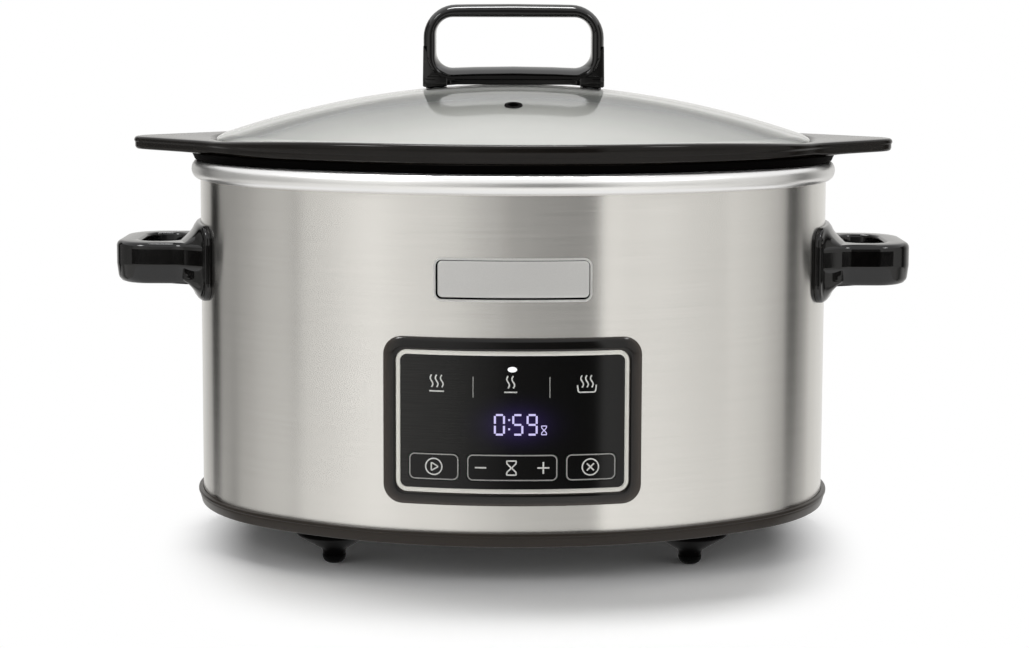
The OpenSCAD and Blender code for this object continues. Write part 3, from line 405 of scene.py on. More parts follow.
WINDOW_HALF, WINDOW_LOW, WINDOW_HIGH = 58, 41.9, 115.4
window = [(-WINDOW_HALF, WINDOW_LOW), (WINDOW_HALF, WINDOW_LOW),
          (WINDOW_HALF, WINDOW_HIGH), (-WINDOW_HALF, WINDOW_HIGH)]
drill(sleeve, [(np.array([[[x, y, z] for x, z in window] for y in (-130, -90)], float), False, True)], 32.0)
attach(sleeve, "base")
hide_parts("outer_sleeve")

# ------------------------------------------------------------
# Rim ring: a satin aluminium casting with a half-round bulge. Its skirt goes down inside the sleeve,
# whose upper edge stands in a slot under the bulge, and the heated well hangs on its inner rebate.
ring_metal, start = new_finish("ring_satin_metal")
cast = noise(start, 900.0, 4.0, 0.6)
cloud = noise(start, (30.0, 30.0, 60.0), 2.0)
close_finish(start, start.surface({
    "Base Color": cloud.mix((0.80, 0.795, 0.785), (0.89, 0.885, 0.875)), "Metallic": 1.0,
    "Roughness": 0.31 + (cast - 0.5) * 0.08 + (cloud - 0.5) * 0.06, "Normal": bump(start, cast, 0.000004)}))

bulge_turn = np.radians(np.linspace(88, -90, 19))
bulge = np.stack([0.75 + 3.75 * np.cos(bulge_turn), 191.25 + 4.75 * np.sin(bulge_turn)], -1)
ring_profile = np.concatenate([[(-9.0, 195.2), (-4.4, 195.2), (-4.4, 195.85), (-4.2, 196.0)], bulge,
                               [(0.15, 186.5), (0.15, 190.3), (-0.75, 190.3), (-0.75, 180.0), (-2.65, 180.0),
                                (-2.65, 193.4), (-9.0, 193.4)]])
ring = make_piece("rim_ring", [(sweep_oval(BODY, ring_profile, around), True, True)], ring_metal, 40.0)
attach(ring, "base")
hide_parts("top_ring")

# ------------------------------------------------------------
# Base ring: dark brown heat-proof plastic, moulded with a thin lip at its top. It is screwed to the
# bottom plate from below and holds the lower edge of the sleeve in a groove.


def moulded(name, dark, light, rough, grain=1400.0, relief=0.00001, metallic=0.0, specular=0.5):
    """A moulded finish: two close colours clouded together, with a fine grain in its gloss and relief."""
    made, start = new_finish(name)
    grained = noise(start, grain, 3.0, 0.6)
    clouded = noise(start, 35.0, 3.0)
    close_finish(start, start.surface({
        "Base Color": (clouded * 0.7 + grained * 0.3).mix(dark, light), "Metallic": metallic,
        "Roughness": rough + (clouded - 0.5) * 0.10 + (grained - 0.5) * 0.06,
        "Specular IOR Level": specular, "Normal": bump(start, grained, relief)}))
    return made


base_plastic = moulded("base_brown_plastic", (0.020, 0.013, 0.008), (0.032, 0.023, 0.016), 0.30, specular=0.30)
base_profile = rounded([(0.8, 18.3), (1.9, 22.5), (1.9, 23.4), (2.5, 23.7), (2.5, 25.2), (0.2, 25.2), (0.2, 23.0),
                        (-0.8, 23.0), (-0.8, 25.2), (-2.8, 25.2), (-2.8, 22.4), (-14.0, 22.4), (-14.0, 20.4),
                        (-2.0, 20.4), (-2.0, 18.3)],
                       [0.5, 0.5, 0.2, 0.2, 0.5] + [0.0] * 10, 4)
base_ring = make_piece("base_ring_moulding", [(sweep_oval(BODY, base_profile, around), True, True)], base_plastic)
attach(base_ring, "base")
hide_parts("base_ring")

# ------------------------------------------------------------
# Feet: four black cones moulded in plastic and screwed to the bottom plate, each with a rubber pad
# pushed into its point.
foot_black = moulded("foot_black_plastic", (0.0015, 0.0013, 0.0013), (0.003, 0.0026, 0.0026), 0.45, specular=0.01)
rubber = moulded("foot_rubber", (0.002, 0.002, 0.002), (0.005, 0.005, 0.005), 0.70, 2200.0, 0.00002, specular=0.03)


def turned(profile, centre, steps=48):
    """A profile of (radius, height) turned about an upright axis."""
    radius, height = np.asarray(profile, float).T
    turn = np.linspace(0, 2 * np.pi, steps, endpoint=False)
    return np.stack(np.broadcast_arrays(centre[0] + radius[:, None] * np.cos(turn),
                                        centre[1] + radius[:, None] * np.sin(turn),
                                        height[:, None]), -1)


foot_profile = rounded([(0.0, 10.4), (1.6, 10.4), (1.6, 18.4), (19.0, 18.4), (19.0, 15.1), (5.8, 7.0), (5.6, 4.0),
                        (2.5, 4.0), (2.5, 8.9), (0.0, 8.9)], [0, 0, 0, 0.3, 2.0, 2.5, 0.4, 0, 0, 0])
pad_profile = [(0, 8.8), (2.4, 8.8), (2.4, 4.0), (5.8, 4.0), (5.7, 2.9), (5.3, 1.8), (4.6, 0.85), (3.7, 0.25),
               (2.6, 0.0), (0, 0)]
FOOT_X, FOOT_Y = 88.3, 75.0
pads = []
for corner, (side, front) in {"front_left": (-1, -1), "front_right": (1, -1),
                              "rear_left": (-1, 1), "rear_right": (1, 1)}.items():
    centre = (FOOT_X * side, FOOT_Y * front)
    foot = make_piece("cone_foot_" + corner, [(turned(foot_profile, centre), False, True)], foot_black)
    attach(foot, "base")
    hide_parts("foot_" + corner)
    pads.append((turned(pad_profile, centre), False, True))
pad = make_piece("rubber_pads", pads, rubber)
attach(pad, "base")
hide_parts("foot_pads")

# ------------------------------------------------------------
# Side handles: black gloss plastic loops. A curved foot plate lies on the end of the sleeve and rises
# in a hollow curve to the loop, which is bevelled along the lower half of its outside. Each is held
# from inside by two screws.
handle_black = moulded("handle_gloss_black", (0.0015, 0.0012, 0.0011), (0.0035, 0.0028, 0.0026), 0.085, 1600.0,
                       0.000003, specular=0.5)
END_X, END_R = 63.0, 99.0
HANDLE_Z = 144.6


def round_rect(width, height, radius, along=(14, 8, 6)):
    """Points round a rectangle with round corners: even steps up each side and round each quarter circle."""
    sides, ends, turns = along
    half_x, half_z = width / 2 - radius, height / 2 - radius
    step, rise, quarter = (np.linspace(0, 1, n, endpoint=False) for n in (sides, ends, turns))
    corner = radius * np.exp(1j * quarter * np.pi / 2)
    right = half_x + radius + 1j * half_z * (2 * rise - 1)
    top = half_x * (1 - 2 * step) + 1j * (half_z + radius)
    half = np.concatenate([right, half_x + 1j * half_z + corner, top, -half_x + 1j * half_z + 1j * corner])
    whole = np.concatenate([half, -half])
    return np.stack([whole.real, whole.imag], -1)


def shrinking(width, height, radius, insets, along=(14, 8, 6)):
    """The outline at each inset, down to the line that an inset of half the height leaves."""
    return np.stack([round_rect(width - 2 * d, height - 2 * d, max(min(radius - d, height / 2 - d), 0.0), along)
                     for d in insets])


def level(plan, height, side=1):
    """Plan points at one height, mirrored in x where the side is -1."""
    return np.column_stack([side * plan[:, 0], plan[:, 1], np.full(len(plan), height)])


def foot_plate(side):
    """A plate bent round the end of the sleeve: its face stands 3 mm out and rises by the square of the
    nearness to the loop's root, to 11 mm."""
    insets = np.concatenate([[19.25, 10.0, 0.0, 0.0, 0.25, 0.9, 1.8], np.linspace(3.0, 19.25, 24)])
    flat = shrinking(90.0, 38.5, 8.0, insets, (44, 14, 6))
    proud = np.full(flat.shape[:2], 0.15)
    proud[3:] = np.array([1.6, 2.4, 2.85] + [3.0] * (len(insets) - 6))[:, None]
    away = np.hypot(np.maximum(np.abs(flat[..., 0]) - 31.0, 0), np.maximum(np.abs(flat[..., 1]) - 9.0, 0))
    proud[6:] += (8.0 * np.clip(1 - away / 11.5, 0, 1) ** 2)[6:]
    turn = flat[..., 0] / END_R
    return np.stack([side * (END_X + (END_R + proud) * np.cos(turn)), (END_R + proud) * np.sin(turn),
                     HANDLE_Z + flat[..., 1]], -1)


def handle_loop(side):
    """A loop between two plan outlines: rows inset at its end and at its sides, then rows grown from the hole."""
    outer = [(6.6, 7.2, 133.0), (4.2, 5.9, 133.12), (2.5, 5.1, 133.7), (1.1, 4.1, 135.3), (0.75, 3.5, 136.4),
             (0.1, 0.75, 141.6), (0.0, 0.25, 142.5), (0.0, 0.0, 143.1), (0.0, 0.0, 143.5), (0.0, 0.0, 151.1),
             (0.0, 0.0, 151.6), (0.2, 0.2, 152.7), (0.8, 0.8, 153.7), (1.75, 1.75, 154.3), (2.9, 2.9, 154.5)]
    inner = [(1.7, 154.5), (0.85, 154.3), (0.25, 153.7), (0.0, 152.8), (0.0, 134.5), (0.2, 133.75), (0.75, 133.2),
             (1.5, 133.0)]
    rows = []
    for end, edge, height in outer:
        far, half = 204.5 - end, 33 - edge
        bound = [(far, half), (170, half), (156.5, half + 8), (163.2, 12), (163.2, -12), (156.5, -half - 8),
                 (170, -half), (far, -half)]
        plan = rounded(bound, [20 - edge, 14, 0.4, 2, 2, 0.4, 14, 20 - edge], 12)
        rows.append(level(plan, height, side))
    for growth, height in inner:
        far, near, half = 192.5 + growth, 171.5 - growth, 21.5 + growth
        plan = rounded([(far, half), (near, half), (near, -half), (far, -half)], 9 + growth, 24)
        rows.append(level(plan, height, side))
    return np.stack(rows)


for name, side in (("left", -1), ("right", 1)):
    grip = make_piece("loop_handle_" + name, [(foot_plate(side), False, True), (handle_loop(side), True, True)],
                      handle_black, 50.0)
    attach(grip, "base")
    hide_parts("side_handle_" + name)

# ------------------------------------------------------------
# Badge plate: a bare satin metal plate with a raised border, held on the sleeve above the panel by
# two pins.
FRONT_Y, FRONT_R = 84.0, 204.0


def on_front(flat, proud, height=0.0):
    """Lays flat points (x, z) on the front: y is 84 less the root of (204 + proud) squared less x squared."""
    x, z = flat[..., 0], flat[..., 1]
    proud = np.asarray(proud, float)
    proud = proud[:, None] if proud.ndim == 1 and flat.ndim == 3 else proud
    return np.stack([x, FRONT_Y - np.sqrt((FRONT_R + proud) ** 2 - x ** 2), z + height], -1)


badge_metal, start = new_finish("badge_satin_metal")
frosted = noise(start, 1500.0, 3.0)
sweep = noise(start, 25.0, 2.0)
close_finish(start, start.surface({
    "Base Color": (frosted * 0.6 + sweep * 0.4).mix((0.78, 0.77, 0.75), (0.90, 0.89, 0.87)), "Metallic": 0.15,
    "Roughness": 0.36 + (frosted - 0.5) * 0.14, "Normal": bump(start, frosted, 0.000008)}))
BADGE_Z, BADGE_W, BADGE_H = 146.6, 75.2, 20.8


def badge_patch(inset, middle, steps):
    """One closed plate or frame of the badge: its outline brought in, laid on the front at each proud height."""
    steps = np.array(steps)
    flat = shrinking(BADGE_W - 2 * inset, BADGE_H - 2 * inset, 3.9 - inset, steps[:, 0], (40, 8, 6))
    return on_front(flat + np.array(middle), steps[:, 1], BADGE_Z)


rim_of_badge = badge_patch(0.0, (0.0, 0.0), [
    (0.0, 0.05), (0.0, 0.55), (0.12, 0.7), (0.3, 0.75), (0.85, 0.75), (1.0, 0.68), (1.1, 0.5), (1.1, 0.05)])
field = badge_patch(1.75, (0.26, 0.34), [
    (8.65, 0.3), (0.0, 0.3), (0.0, 0.85), (0.15, 1.05), (0.55, 1.3), (1.0, 1.42), (1.6, 1.45), (5.0, 1.45),
    (8.65, 1.45)])
badge = make_piece("badge_field", [(rim_of_badge, True, True), (field, False, True)], badge_metal, 40.0)
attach(badge, "base")
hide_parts("badge_plate")
# A black strip laid under the edge of the raised field, which sits a little up and to the right, shows as a dark line
# at the left and bottom: a painted shadow on the badge.
shadow_strip_outline = badge_patch(1.1, (0.0, 0.0), [(0.0, 0.05), (0.0, 0.3), (1.4, 0.3), (1.4, 0.05)])
badge_shadow_strip = make_piece("badge_painted_shadow_strip", [(shadow_strip_outline, True, True)], rubber)
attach(badge_shadow_strip, "base")

# ------------------------------------------------------------
# Panel bezel: a gloss black frame with a bevelled edge, bent to the front of the sleeve. Its neck goes
# through the window in the steel and is held there by four spring clips.
PANEL_Z, PANEL_W, PANEL_H = 78.65, 123.5, 80.7
panel_black, start = new_finish("panel_gloss_black_painted_sheen")
fleck = noise(start, 1200.0)
# Faces seen edge-on turn brown: a painted sheen along the bevels and the ends of the frame.
painted_edge_sheen = start.node("ShaderNodeLayerWeight", sockets={"Blend": 0.5}, output=1).ranged(0.05, 0.25)
close_finish(start, start.surface({
    "Base Color": painted_edge_sheen.mix(fleck.mix((0.0015, 0.001, 0.0007), (0.003, 0.002, 0.0014)), (0.070, 0.056, 0.047)),
    "Roughness": 0.08 + (fleck - 0.5) * 0.04 + painted_edge_sheen * 0.12, "Specular IOR Level": 0.38,
    "Normal": bump(start, fleck, 0.000003)}))
bezel_steps = np.array([(3.55, -7.0), (3.55, 0.1), (0.0, 0.1), (0.0, 0.35), (0.35, 0.75), (1.6, 1.22),
                        (3.2, 1.64), (4.6, 1.8), (5.3, 1.8), (5.75, 1.68), (5.9, 1.4), (5.9, -1.25),
                        (10.2, -1.25), (10.2, -7.0)])
bezel_flat = np.concatenate([shrinking(PANEL_W, PANEL_H, 9.0, bezel_steps[:8, 0], (60, 10, 8)),
                             shrinking(PANEL_W, PANEL_H, 11.4, bezel_steps[8:, 0], (60, 10, 8))])
bezel = make_piece("bezel_frame", [(on_front(bezel_flat, bezel_steps[:, 1], PANEL_Z), True, True)], panel_black,
                   40.0)
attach(bezel, "base")
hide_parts("panel_bezel")

# ------------------------------------------------------------
# Trim line: a bright silver strip, pressed into the bezel round the fascia. It stands half a millimetre
# above the fascia and as much below the bezel's face.
trim_silver = moulded("trim_bright_silver", (0.86, 0.85, 0.79), (0.94, 0.93, 0.87), 0.36, 1500.0, 0.000003,
                      metallic=0.5)
TRIM_W, TRIM_H = 111.3, 68.5
trim_steps = np.array([(0.0, -1.1), (0.0, 1.15), (0.15, 1.3), (0.4, 1.34), (1.9, 1.34), (2.1, 1.28), (2.2, 1.1),
                       (2.2, -1.1)])
trim = make_piece("trim_strip", [(on_front(shrinking(TRIM_W, TRIM_H, 5.4, trim_steps[:, 0], (54, 10, 8)),
                                           trim_steps[:, 1], PANEL_Z), True, True)], trim_silver, 40.0)
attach(trim, "base")
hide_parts("panel_trim")

# ------------------------------------------------------------
# Fascia: a gloss black lens over the display, printed with the marks of the three heat settings. It
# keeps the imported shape, which has the openings of the keys. A violet display glows through it.
lens_black, start = new_finish("fascia_gloss_black_painted_sheen")
brushed = noise(start, (26.0, 26.0, 1700.0), 3.0)
spot = object_point(start)
across, upward = spot.axis(0), spot.axis(2)
glow_x = start.maths("POWER", (across - 0.002) * (1 / 0.013), 2.0)
glow_z = start.maths("POWER", (upward - 0.0777) * (1 / 0.0075), 2.0)
halo = start.maths("EXPONENT", (glow_x + glow_z) * -1.0)
# Towards the left end the lens is painted lighter along its brushing, fading out by the middle: a painted sheen.
painted_light_fade = across.ranged(-0.053, 0.0, 1.0, 0.0)
close_finish(start, start.surface({
    "Base Color": (brushed * painted_light_fade).mix((0.0015, 0.0015, 0.0015), (0.032, 0.031, 0.029)),
    "Roughness": 0.07 + brushed * 0.05, "Specular IOR Level": 0.34, "Normal": bump(start, brushed, 0.000002),
    "Emission Color": halo.mix((0.0, 0.0, 0.0), (0.016, 0.008, 0.055)), "Emission Strength": 1.0}))

print_white = moulded("print_white", (0.86, 0.86, 0.83), (0.96, 0.96, 0.93), 0.45)
print_grey = moulded("print_grey", (0.44, 0.44, 0.42), (0.54, 0.54, 0.52), 0.45)


def mark(path, width, closed=False):
    """A printed line, as wide as said along a path: its edges lie half the width to each side of it."""
    path = np.asarray(path, float)
    along = np.roll(path, -1, axis=0) - np.roll(path, 1, axis=0) if closed else np.gradient(path, axis=0)
    along /= np.linalg.norm(along, axis=1, keepdims=True)
    left = np.column_stack([-along[:, 1], along[:, 0]]) * np.broadcast_to(width, len(path))[:, None] / 2
    rows = np.stack([path - left, path - left, path + left, path + left])
    if not closed:
        rows = np.concatenate([np.stack([path[:1]] * 4), rows, np.stack([path[-1:]] * 4)], axis=1)
    return rows, closed


def straight(first, last, width):
    """A straight printed line, with a point every millimetre so that it follows the curve of the front."""
    length = math.dist(first, last)
    return mark(np.linspace(first, last, max(2, int(length) + 1)), width)


def printed(name, body, base, marks, finish):
    """Printed marks as one piece, standing a hair above a face at a distance from the steel."""
    levels = np.array([base + 0.01, base + 0.05, base + 0.05, base + 0.01])
    made = make_piece(name, [(on_front(rows, levels), True, closed) for rows, closed in marks], finish, 60.0)
    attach(made, body)


def waves_mark(x, z, waves, spacing, tall):
    """Rising heat: upright S-curves side by side, x by a sine of the height."""
    rise = np.linspace(0, 1, 15)
    return [mark(np.column_stack([x + shift + 0.62 * np.sin(rise * 2 * np.pi), z + tall * rise]), 0.66)
            for shift in (np.arange(waves) - (waves - 1) / 2) * spacing]


def heat_mark(x, z, waves, half):
    """Rising heat over a hob line."""
    return waves_mark(x, z, waves, 2.45, 5.9) + [straight((x - half, z - 1.9), (x + half, z - 1.9), 0.66)]


def tray_mark(x, z):
    """Rising heat out of a shallow open tray, for keeping food warm."""
    tray = rounded([(x - 4.5, z + 0.6), (x - 4.1, z - 2.9), (x + 4.1, z - 2.9), (x + 4.5, z + 0.6)],
                   [0.01, 1.0, 1.0, 0.01], 6)[5:-5]
    spread = []
    for first, last in zip(tray[:-1], tray[1:]):
        steps = 8 if math.dist(first, last) > 1.5 else 1
        spread.append(np.linspace(first, last, steps, endpoint=False))
    return waves_mark(x, z - 0.6, 3, 2.3, 5.8) + [mark(np.concatenate(spread + [tray[-1:]]), 0.66)]


HEAT_Z = 95.2
heat_marks = heat_mark(-36.0, HEAT_Z, 3, 3.5) + heat_mark(-0.9, HEAT_Z, 2, 3.1) + tray_mark(35.3, HEAT_Z + 0.7)
printed("print_heat_marks", "base", 0.8, heat_marks, print_white)
separators = [mark([(x, 90.6), (x, 100.6)], 0.42) for x in (-18.7, 17.7)]
printed("print_separators", "base", 0.8, separators, print_grey)

# ------------------------------------------------------------
# Display: a seven-segment clock that shines through the fascia, and the small lamp over the chosen
# setting. Their lit shapes lie a hair above the fascia.
SEGMENTS = {"a": ((0, 2), (1, 2)), "b": ((1, 2), (1, 1)), "c": ((1, 1), (1, 0)), "d": ((0, 0), (1, 0)),
            "e": ((0, 1), (0, 0)), "f": ((0, 2), (0, 1)), "g": ((0, 1), (1, 1))}
DIGITS = {0: "abcdef", 5: "afgcd", 9: "abcdfg"}


def glowing(name, colour, strength):
    """A lit finish whose light is a little uneven, as behind a diffuser."""
    made, start = new_finish(name)
    uneven = noise(start, 700.0, 2.0)
    close_finish(start, start.surface({
        "Base Color": (0.05, 0.05, 0.06), "Roughness": 0.3 + uneven * 0.1, "Emission Strength": strength,
        "Emission Color": uneven.mix(tuple(0.86 * c for c in colour), colour)}))
    return made


def digit(value, x, z, width=4.3, height=9.4, stroke=0.95):
    """The lit bars of one digit: straight marks between the corners of two stacked squares, pulled in at the ends."""
    lines = []
    for name in DIGITS[value]:
        ends = np.array(SEGMENTS[name], float) * (width, height / 2) + (x, z)
        pull = (ends[1] - ends[0]) / np.linalg.norm(ends[1] - ends[0]) * 0.48
        lines.append(mark(np.linspace(ends[0] + pull, ends[1] - pull, 4), stroke))
    return lines


def sand_glass(quarter, x, z):
    """A sand-glass from its upper right quarter: the corner, the shoulder and the waist, mirrored both ways."""
    right = quarter + [(a, -b) for a, b in quarter[::-1]]
    whole = right + [(-a, -b) for a, b in right]
    return np.array(whole[-1:] + whole[:-1]) + (x, z)


CLOCK_Z = 73.0
violet = glowing("display_violet_white", (0.66, 0.60, 0.98), 1.0)
clock = digit(0, -8.3, CLOCK_Z) + digit(5, 0.4, CLOCK_Z) + digit(9, 7.2, CLOCK_Z)
clock += [mark([(-1.55, z - 0.45), (-1.55, z + 0.45)], 0.9) for z in (75.6, 80.0)]
clock += [mark(rounded(sand_glass([(1.2, 2.1), (1.1, 1.2), (0.22, 0.2)], 15.0, 75.0), 0.12, 3), 0.42, True)]
printed("display_clock", "base", 0.8, clock, violet)
lamp_white = glowing("setting_lamp_white", (1.0, 1.0, 1.0), 1.1)
lamp_x = np.linspace(-2.25, 2.25, 17)
lamp_oval = mark(np.column_stack([lamp_x - 0.1, np.full(17, 104.15)]),
                 0.1 + 2.5 * np.sqrt(1 - (lamp_x / 2.26) ** 2))
printed("setting_lamp", "base", 0.8, [lamp_oval], lamp_white)

# ------------------------------------------------------------
# Keys: three gloss black caps behind the fascia's openings. Each is printed with its outline and marks,
# which move with it: start, less time, more time and cancel.
key_black = moulded("key_gloss_black", (0.0012, 0.0012, 0.0012), (0.0025, 0.0025, 0.0025), 0.09, 1200.0, 0.000003,
                    specular=0.34)
KEY_Z, KEY_FACE = 56.95, 1.0
START_X, CANCEL_X, CROSS_X = -37.4, 37.4, 37.2
KEY_W, TIMER_W = 23.9, 43.2


def circle_mark(x):
    """The printed circle of the start and cancel keys."""
    turn = np.radians(np.linspace(0.0, 360.0, 28, endpoint=False))
    return mark(np.column_stack([x + 3.9 * np.cos(turn), KEY_Z + 3.9 * np.sin(turn)]), 0.66, True)


for name, body, x, width in (("start", "start_key_body", START_X, KEY_W), ("timer", "timer_key_body", 0.0, TIMER_W),
                             ("cancel", "cancel_key_body", CANCEL_X, KEY_W)):
    outline = round_rect(width - 0.9, 12.0, 2.4, (24, 8, 7)) + (x, KEY_Z)
    printed("key_outline_" + name, body, KEY_FACE, [mark(outline, 0.56, True)], print_grey)

play = np.array([(-1.2, -2.0), (2.2, 0.0), (-1.2, 2.0)]) + (START_X, KEY_Z)
start_marks = [circle_mark(START_X), mark(rounded(play, 0.3, 4), 0.66, True)]
printed("key_mark_start", "start_key_body", KEY_FACE, start_marks, print_white)
timer_marks = [straight((-17.8, KEY_Z), (-12.4, KEY_Z), 0.75), straight((11.9, KEY_Z), (17.6, KEY_Z), 0.75),
               mark([(14.75, KEY_Z - 2.85), (14.75, KEY_Z + 2.85)], 0.75),
               mark(rounded(sand_glass([(2.3, 3.4), (2.1, 2.0), (0.35, 0.3)], -0.4, KEY_Z), 0.25, 4), 0.66, True)]
printed("key_mark_timer", "timer_key_body", KEY_FACE, timer_marks, print_white)
cross = [straight((CROSS_X - 1.7, KEY_Z - 1.7 * s), (CROSS_X + 1.7, KEY_Z + 1.7 * s), 0.72) for s in (1, -1)]
printed("key_mark_cancel", "cancel_key_body", KEY_FACE, [circle_mark(CROSS_X)] + cross, print_white)

# ------------------------------------------------------------
# Cooking pot: dark glazed stoneware. Its rim spreads into a flat ear at each end, a lip stands round
# the ledge that carries the lid, and the neck under the rim rests on the rim ring.
POT = (163.5, 118.0)
NECK = (165.0, 114.0)
glaze, start = new_finish("pot_dark_glaze_painted_neck_shade")
fine = noise(start, 420.0, 4.0, 0.6)
pooled = noise(start, 40.0, 3.0)
spot = object_point(start)
upward = spot.axis(2)
outward = start.node("ShaderNodeVectorMath", {"operation": "LENGTH"}, {
    0: start.node("ShaderNodeMapping", sockets={"Vector": spot, "Scale": (1 / 0.156, 1 / 0.108, 0.0)})}, output=1)
# The outer band of the neck just under the rim is painted near black and dull, with almost no reflection: painted
# shade in the recess over the rim ring.
neck_shade_mask = upward.ranged(0.2001, 0.2005, 1.0, 0.0) * upward.ranged(0.1935, 0.1945) * outward.ranged(0.99, 1.01)
glossy_glaze = start.surface({
    "Base Color": (pooled * 0.7 + fine * 0.3).mix((0.006, 0.0045, 0.0035), (0.014, 0.011, 0.0085)),
    "Roughness": 0.15 + (fine - 0.5) * 0.08, "Specular IOR Level": 0.16, "Coat Weight": 0.05 + pooled * 0.1,
    "Coat Roughness": 0.05, "Normal": bump(start, fine, 0.00002)})
painted_neck_shade = start.surface({
    "Base Color": fine.mix((0.0010, 0.0008, 0.0008), (0.0022, 0.0018, 0.0018)),
    "Roughness": 0.70 + (fine - 0.5) * 0.1, "Specular IOR Level": 0.02, "Normal": bump(start, fine, 0.00003)})
close_finish(start, start.node("ShaderNodeMixShader", sockets={0: neck_shade_mask, 1: glossy_glaze, 2: painted_neck_shade}))

EAR_LINE, EAR_TURN, EAR_TIP, EAR_TIP_R, END_REACH = 90.25, 48.25, 115.25, 13.5, 95.25


def ear_reach(normals):
    """How far an ear stands out past the rim's end arc: the smooth larger of the arc and of the ear's straight
    side, line / cos(turn - angle), or its round tip, both measured from the end arc's centre."""
    angle = np.abs(np.arcsin(np.sin(normals)))
    straight = EAR_LINE / np.cos(math.radians(EAR_TURN) - angle)
    inside = np.sqrt(np.maximum(EAR_TIP_R ** 2 - (EAR_TIP * np.sin(angle)) ** 2, 0))
    ear = np.where(angle < math.radians(4.63), EAR_TIP * np.cos(angle) + inside, straight)
    blend = 1.2
    reach = blend * np.log(np.exp((ear - END_REACH) / blend) + 1)
    return np.where(angle < math.radians(SEAM), reach, 0.0)


quarter = np.radians(np.concatenate([
    [0, 1.2, 2.4, 3.5, 4.6, 6, 8, 10.5, 13, 16, 19, 22, 24.5, 27, 28.5, 30, 31.5, 33.5, 36, 40, 44, 48.5],
    np.linspace(SEAM, 90, 24)[:-1]]))
half_turn = np.concatenate([quarter, [np.pi / 2], np.pi - quarter[:0:-1]])
pot_around = np.concatenate([half_turn, half_turn + np.pi])
ears = ear_reach(pot_around)
rim_x = np.abs(oval(POT, 0.0, pot_around)[:, 0])
rim_drop = -2.9 * np.clip((rim_x - 60) / 90, 0, 1) ** 2.4

# Each row: the oval, offset from it, height, share of the ear's reach, share of the rim's drop, scale in plan
pot_rows = [(POT, -33.0, 91.0, 0, 0, scale) for scale in (0.0, 0.4, 0.8, 1.0)]
pot_rows += [(POT, offset, height, 0, 0, 1) for offset, height in (
    (-30.6, 91.3), (-28.2, 92.6), (-26.2, 95.2), (-25.0, 99.0), (-19.8, 148.0), (-14.9, 194.5), (-14.5, 196.3))]
pot_rows += [(NECK, offset, height, 0, 0, 1) for offset, height in (
    (-0.4, 196.3), (0.05, 196.6), (0.35, 197.4), (1.5, 199.9))]
pot_rows += [(POT, offset, height, ear, 0, 1) for offset, height, ear in (
    (-2.6, 200.6, 1), (-1.5, 200.75, 1), (-0.85, 201.3, 1), (-0.5, 202.2, 1), (-0.5, 204.0, 1), (-0.4, 204.4, 1),
    (0.0, 204.9, 1))]
pot_rows += [(POT, offset, height, ear, 1, 1) for offset, height, ear in (
    (0.0, 208.2, 1), (-0.15, 208.9, 1), (-0.6, 209.55, 1), (-1.3, 209.9, 1), (-2.1, 210.0, 1), (-3.6, 210.0, 0.5),
    (-5.6, 210.0, 0), (-6.8, 209.8, 0), (-8.1, 209.1, 0), (-8.9, 208.2, 0), (-9.2, 207.2, 0))]
pot_rows += [(POT, offset, height, 0, 0, 1) for offset, height in (
    (-9.2, 204.1), (-9.4, 203.6), (-9.9, 203.4), (-15.4, 203.4), (-16.3, 203.1), (-16.9, 202.2), (-18.5, 198.3),
    (-29.0, 101.0), (-30.2, 98.0), (-32.2, 95.9), (-35.0, 95.0))]
pot_rows += [(POT, -35.0, 95.0, 0, 0, scale) for scale in (0.8, 0.4, 0.0)]
pot_grid = []
for sizes, offset, height, ear, drop, scale in pot_rows:
    plan = oval(sizes, offset + ear * ears, pot_around) * scale
    pot_grid.append(np.column_stack([plan, height + drop * rim_drop]))
pot = make_piece("stoneware_pot", [(np.stack(pot_grid), False, True)], glaze, 60.0)
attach(pot, "pot")
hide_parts("cooking_pot")

# ------------------------------------------------------------
# Glass lid: pressed glass, slightly milky with steam, a shallow dome whose edge rests on the pot's
# ledge. It is drilled for the handle's two screws and for the steam vent.
GLASS_Z, GLASS_T, DOME = 203.7, 4.0, 26.7
GLASS_IN = -9.7
glass, start = new_finish("lid_milky_glass_painted_bands")
mist = noise(start, 18.0, 3.0)
facing = start.node("ShaderNodeLayerWeight", sockets={"Blend": 0.5}, output=1)
clear = start.surface({
    "Base Color": (0.90, 0.93, 0.92), "Roughness": 0.03 + mist * 0.03, "Transmission Weight": 1.0, "IOR": 1.48})
# Seen more edge-on, the milky layer's colour runs through a dark band and back to pale near the outline: a painted
# reflection of dark and bright surroundings in the dome.
depth = start.node("ShaderNodeValToRGB", {"stops": [
    (0.30, (0.80, 0.80, 0.78)), (0.54, (0.73, 0.735, 0.70)), (0.58, (0.65, 0.655, 0.62)),
    (0.62, (0.525, 0.53, 0.50)), (0.66, (0.405, 0.41, 0.385)), (0.70, (0.29, 0.295, 0.275)),
    (0.74, (0.14, 0.145, 0.135)), (0.77, (0.07, 0.075, 0.07)), (0.80, (0.12, 0.125, 0.115)),
    (0.83, (0.30, 0.305, 0.285)), (0.86, (0.58, 0.585, 0.56))]}, {"Fac": facing})
veil = facing.ranged(0.10, 0.48, 0.25, 0.84)
milky_painted_bands = start.surface({
    "Base Color": (mist * 0.12).mix(depth, (0.80, 0.80, 0.78)), "Roughness": 0.06 + mist * 0.04})
close_finish(start, start.node("ShaderNodeMixShader", sockets={0: veil + mist * 0.12, 1: clear, 2: milky_painted_bands}))


dome_around = oval_normals(40, 56)


def dome_row(u, lift):
    """Points at a fraction u of the way to the edge: the height falls by u squared."""
    return level(oval(POT, GLASS_IN, dome_around) * u, GLASS_Z + DOME * (1 - u * u) + lift)


def edge_row(turn):
    """Points round the rim's half-round edge, from 70 degrees up to 70 degrees down."""
    plan = oval(POT, GLASS_IN - 2.0 + 2.0 * math.cos(turn), dome_around)
    return level(plan, GLASS_Z + 2.0 + 2.0 * math.sin(turn))


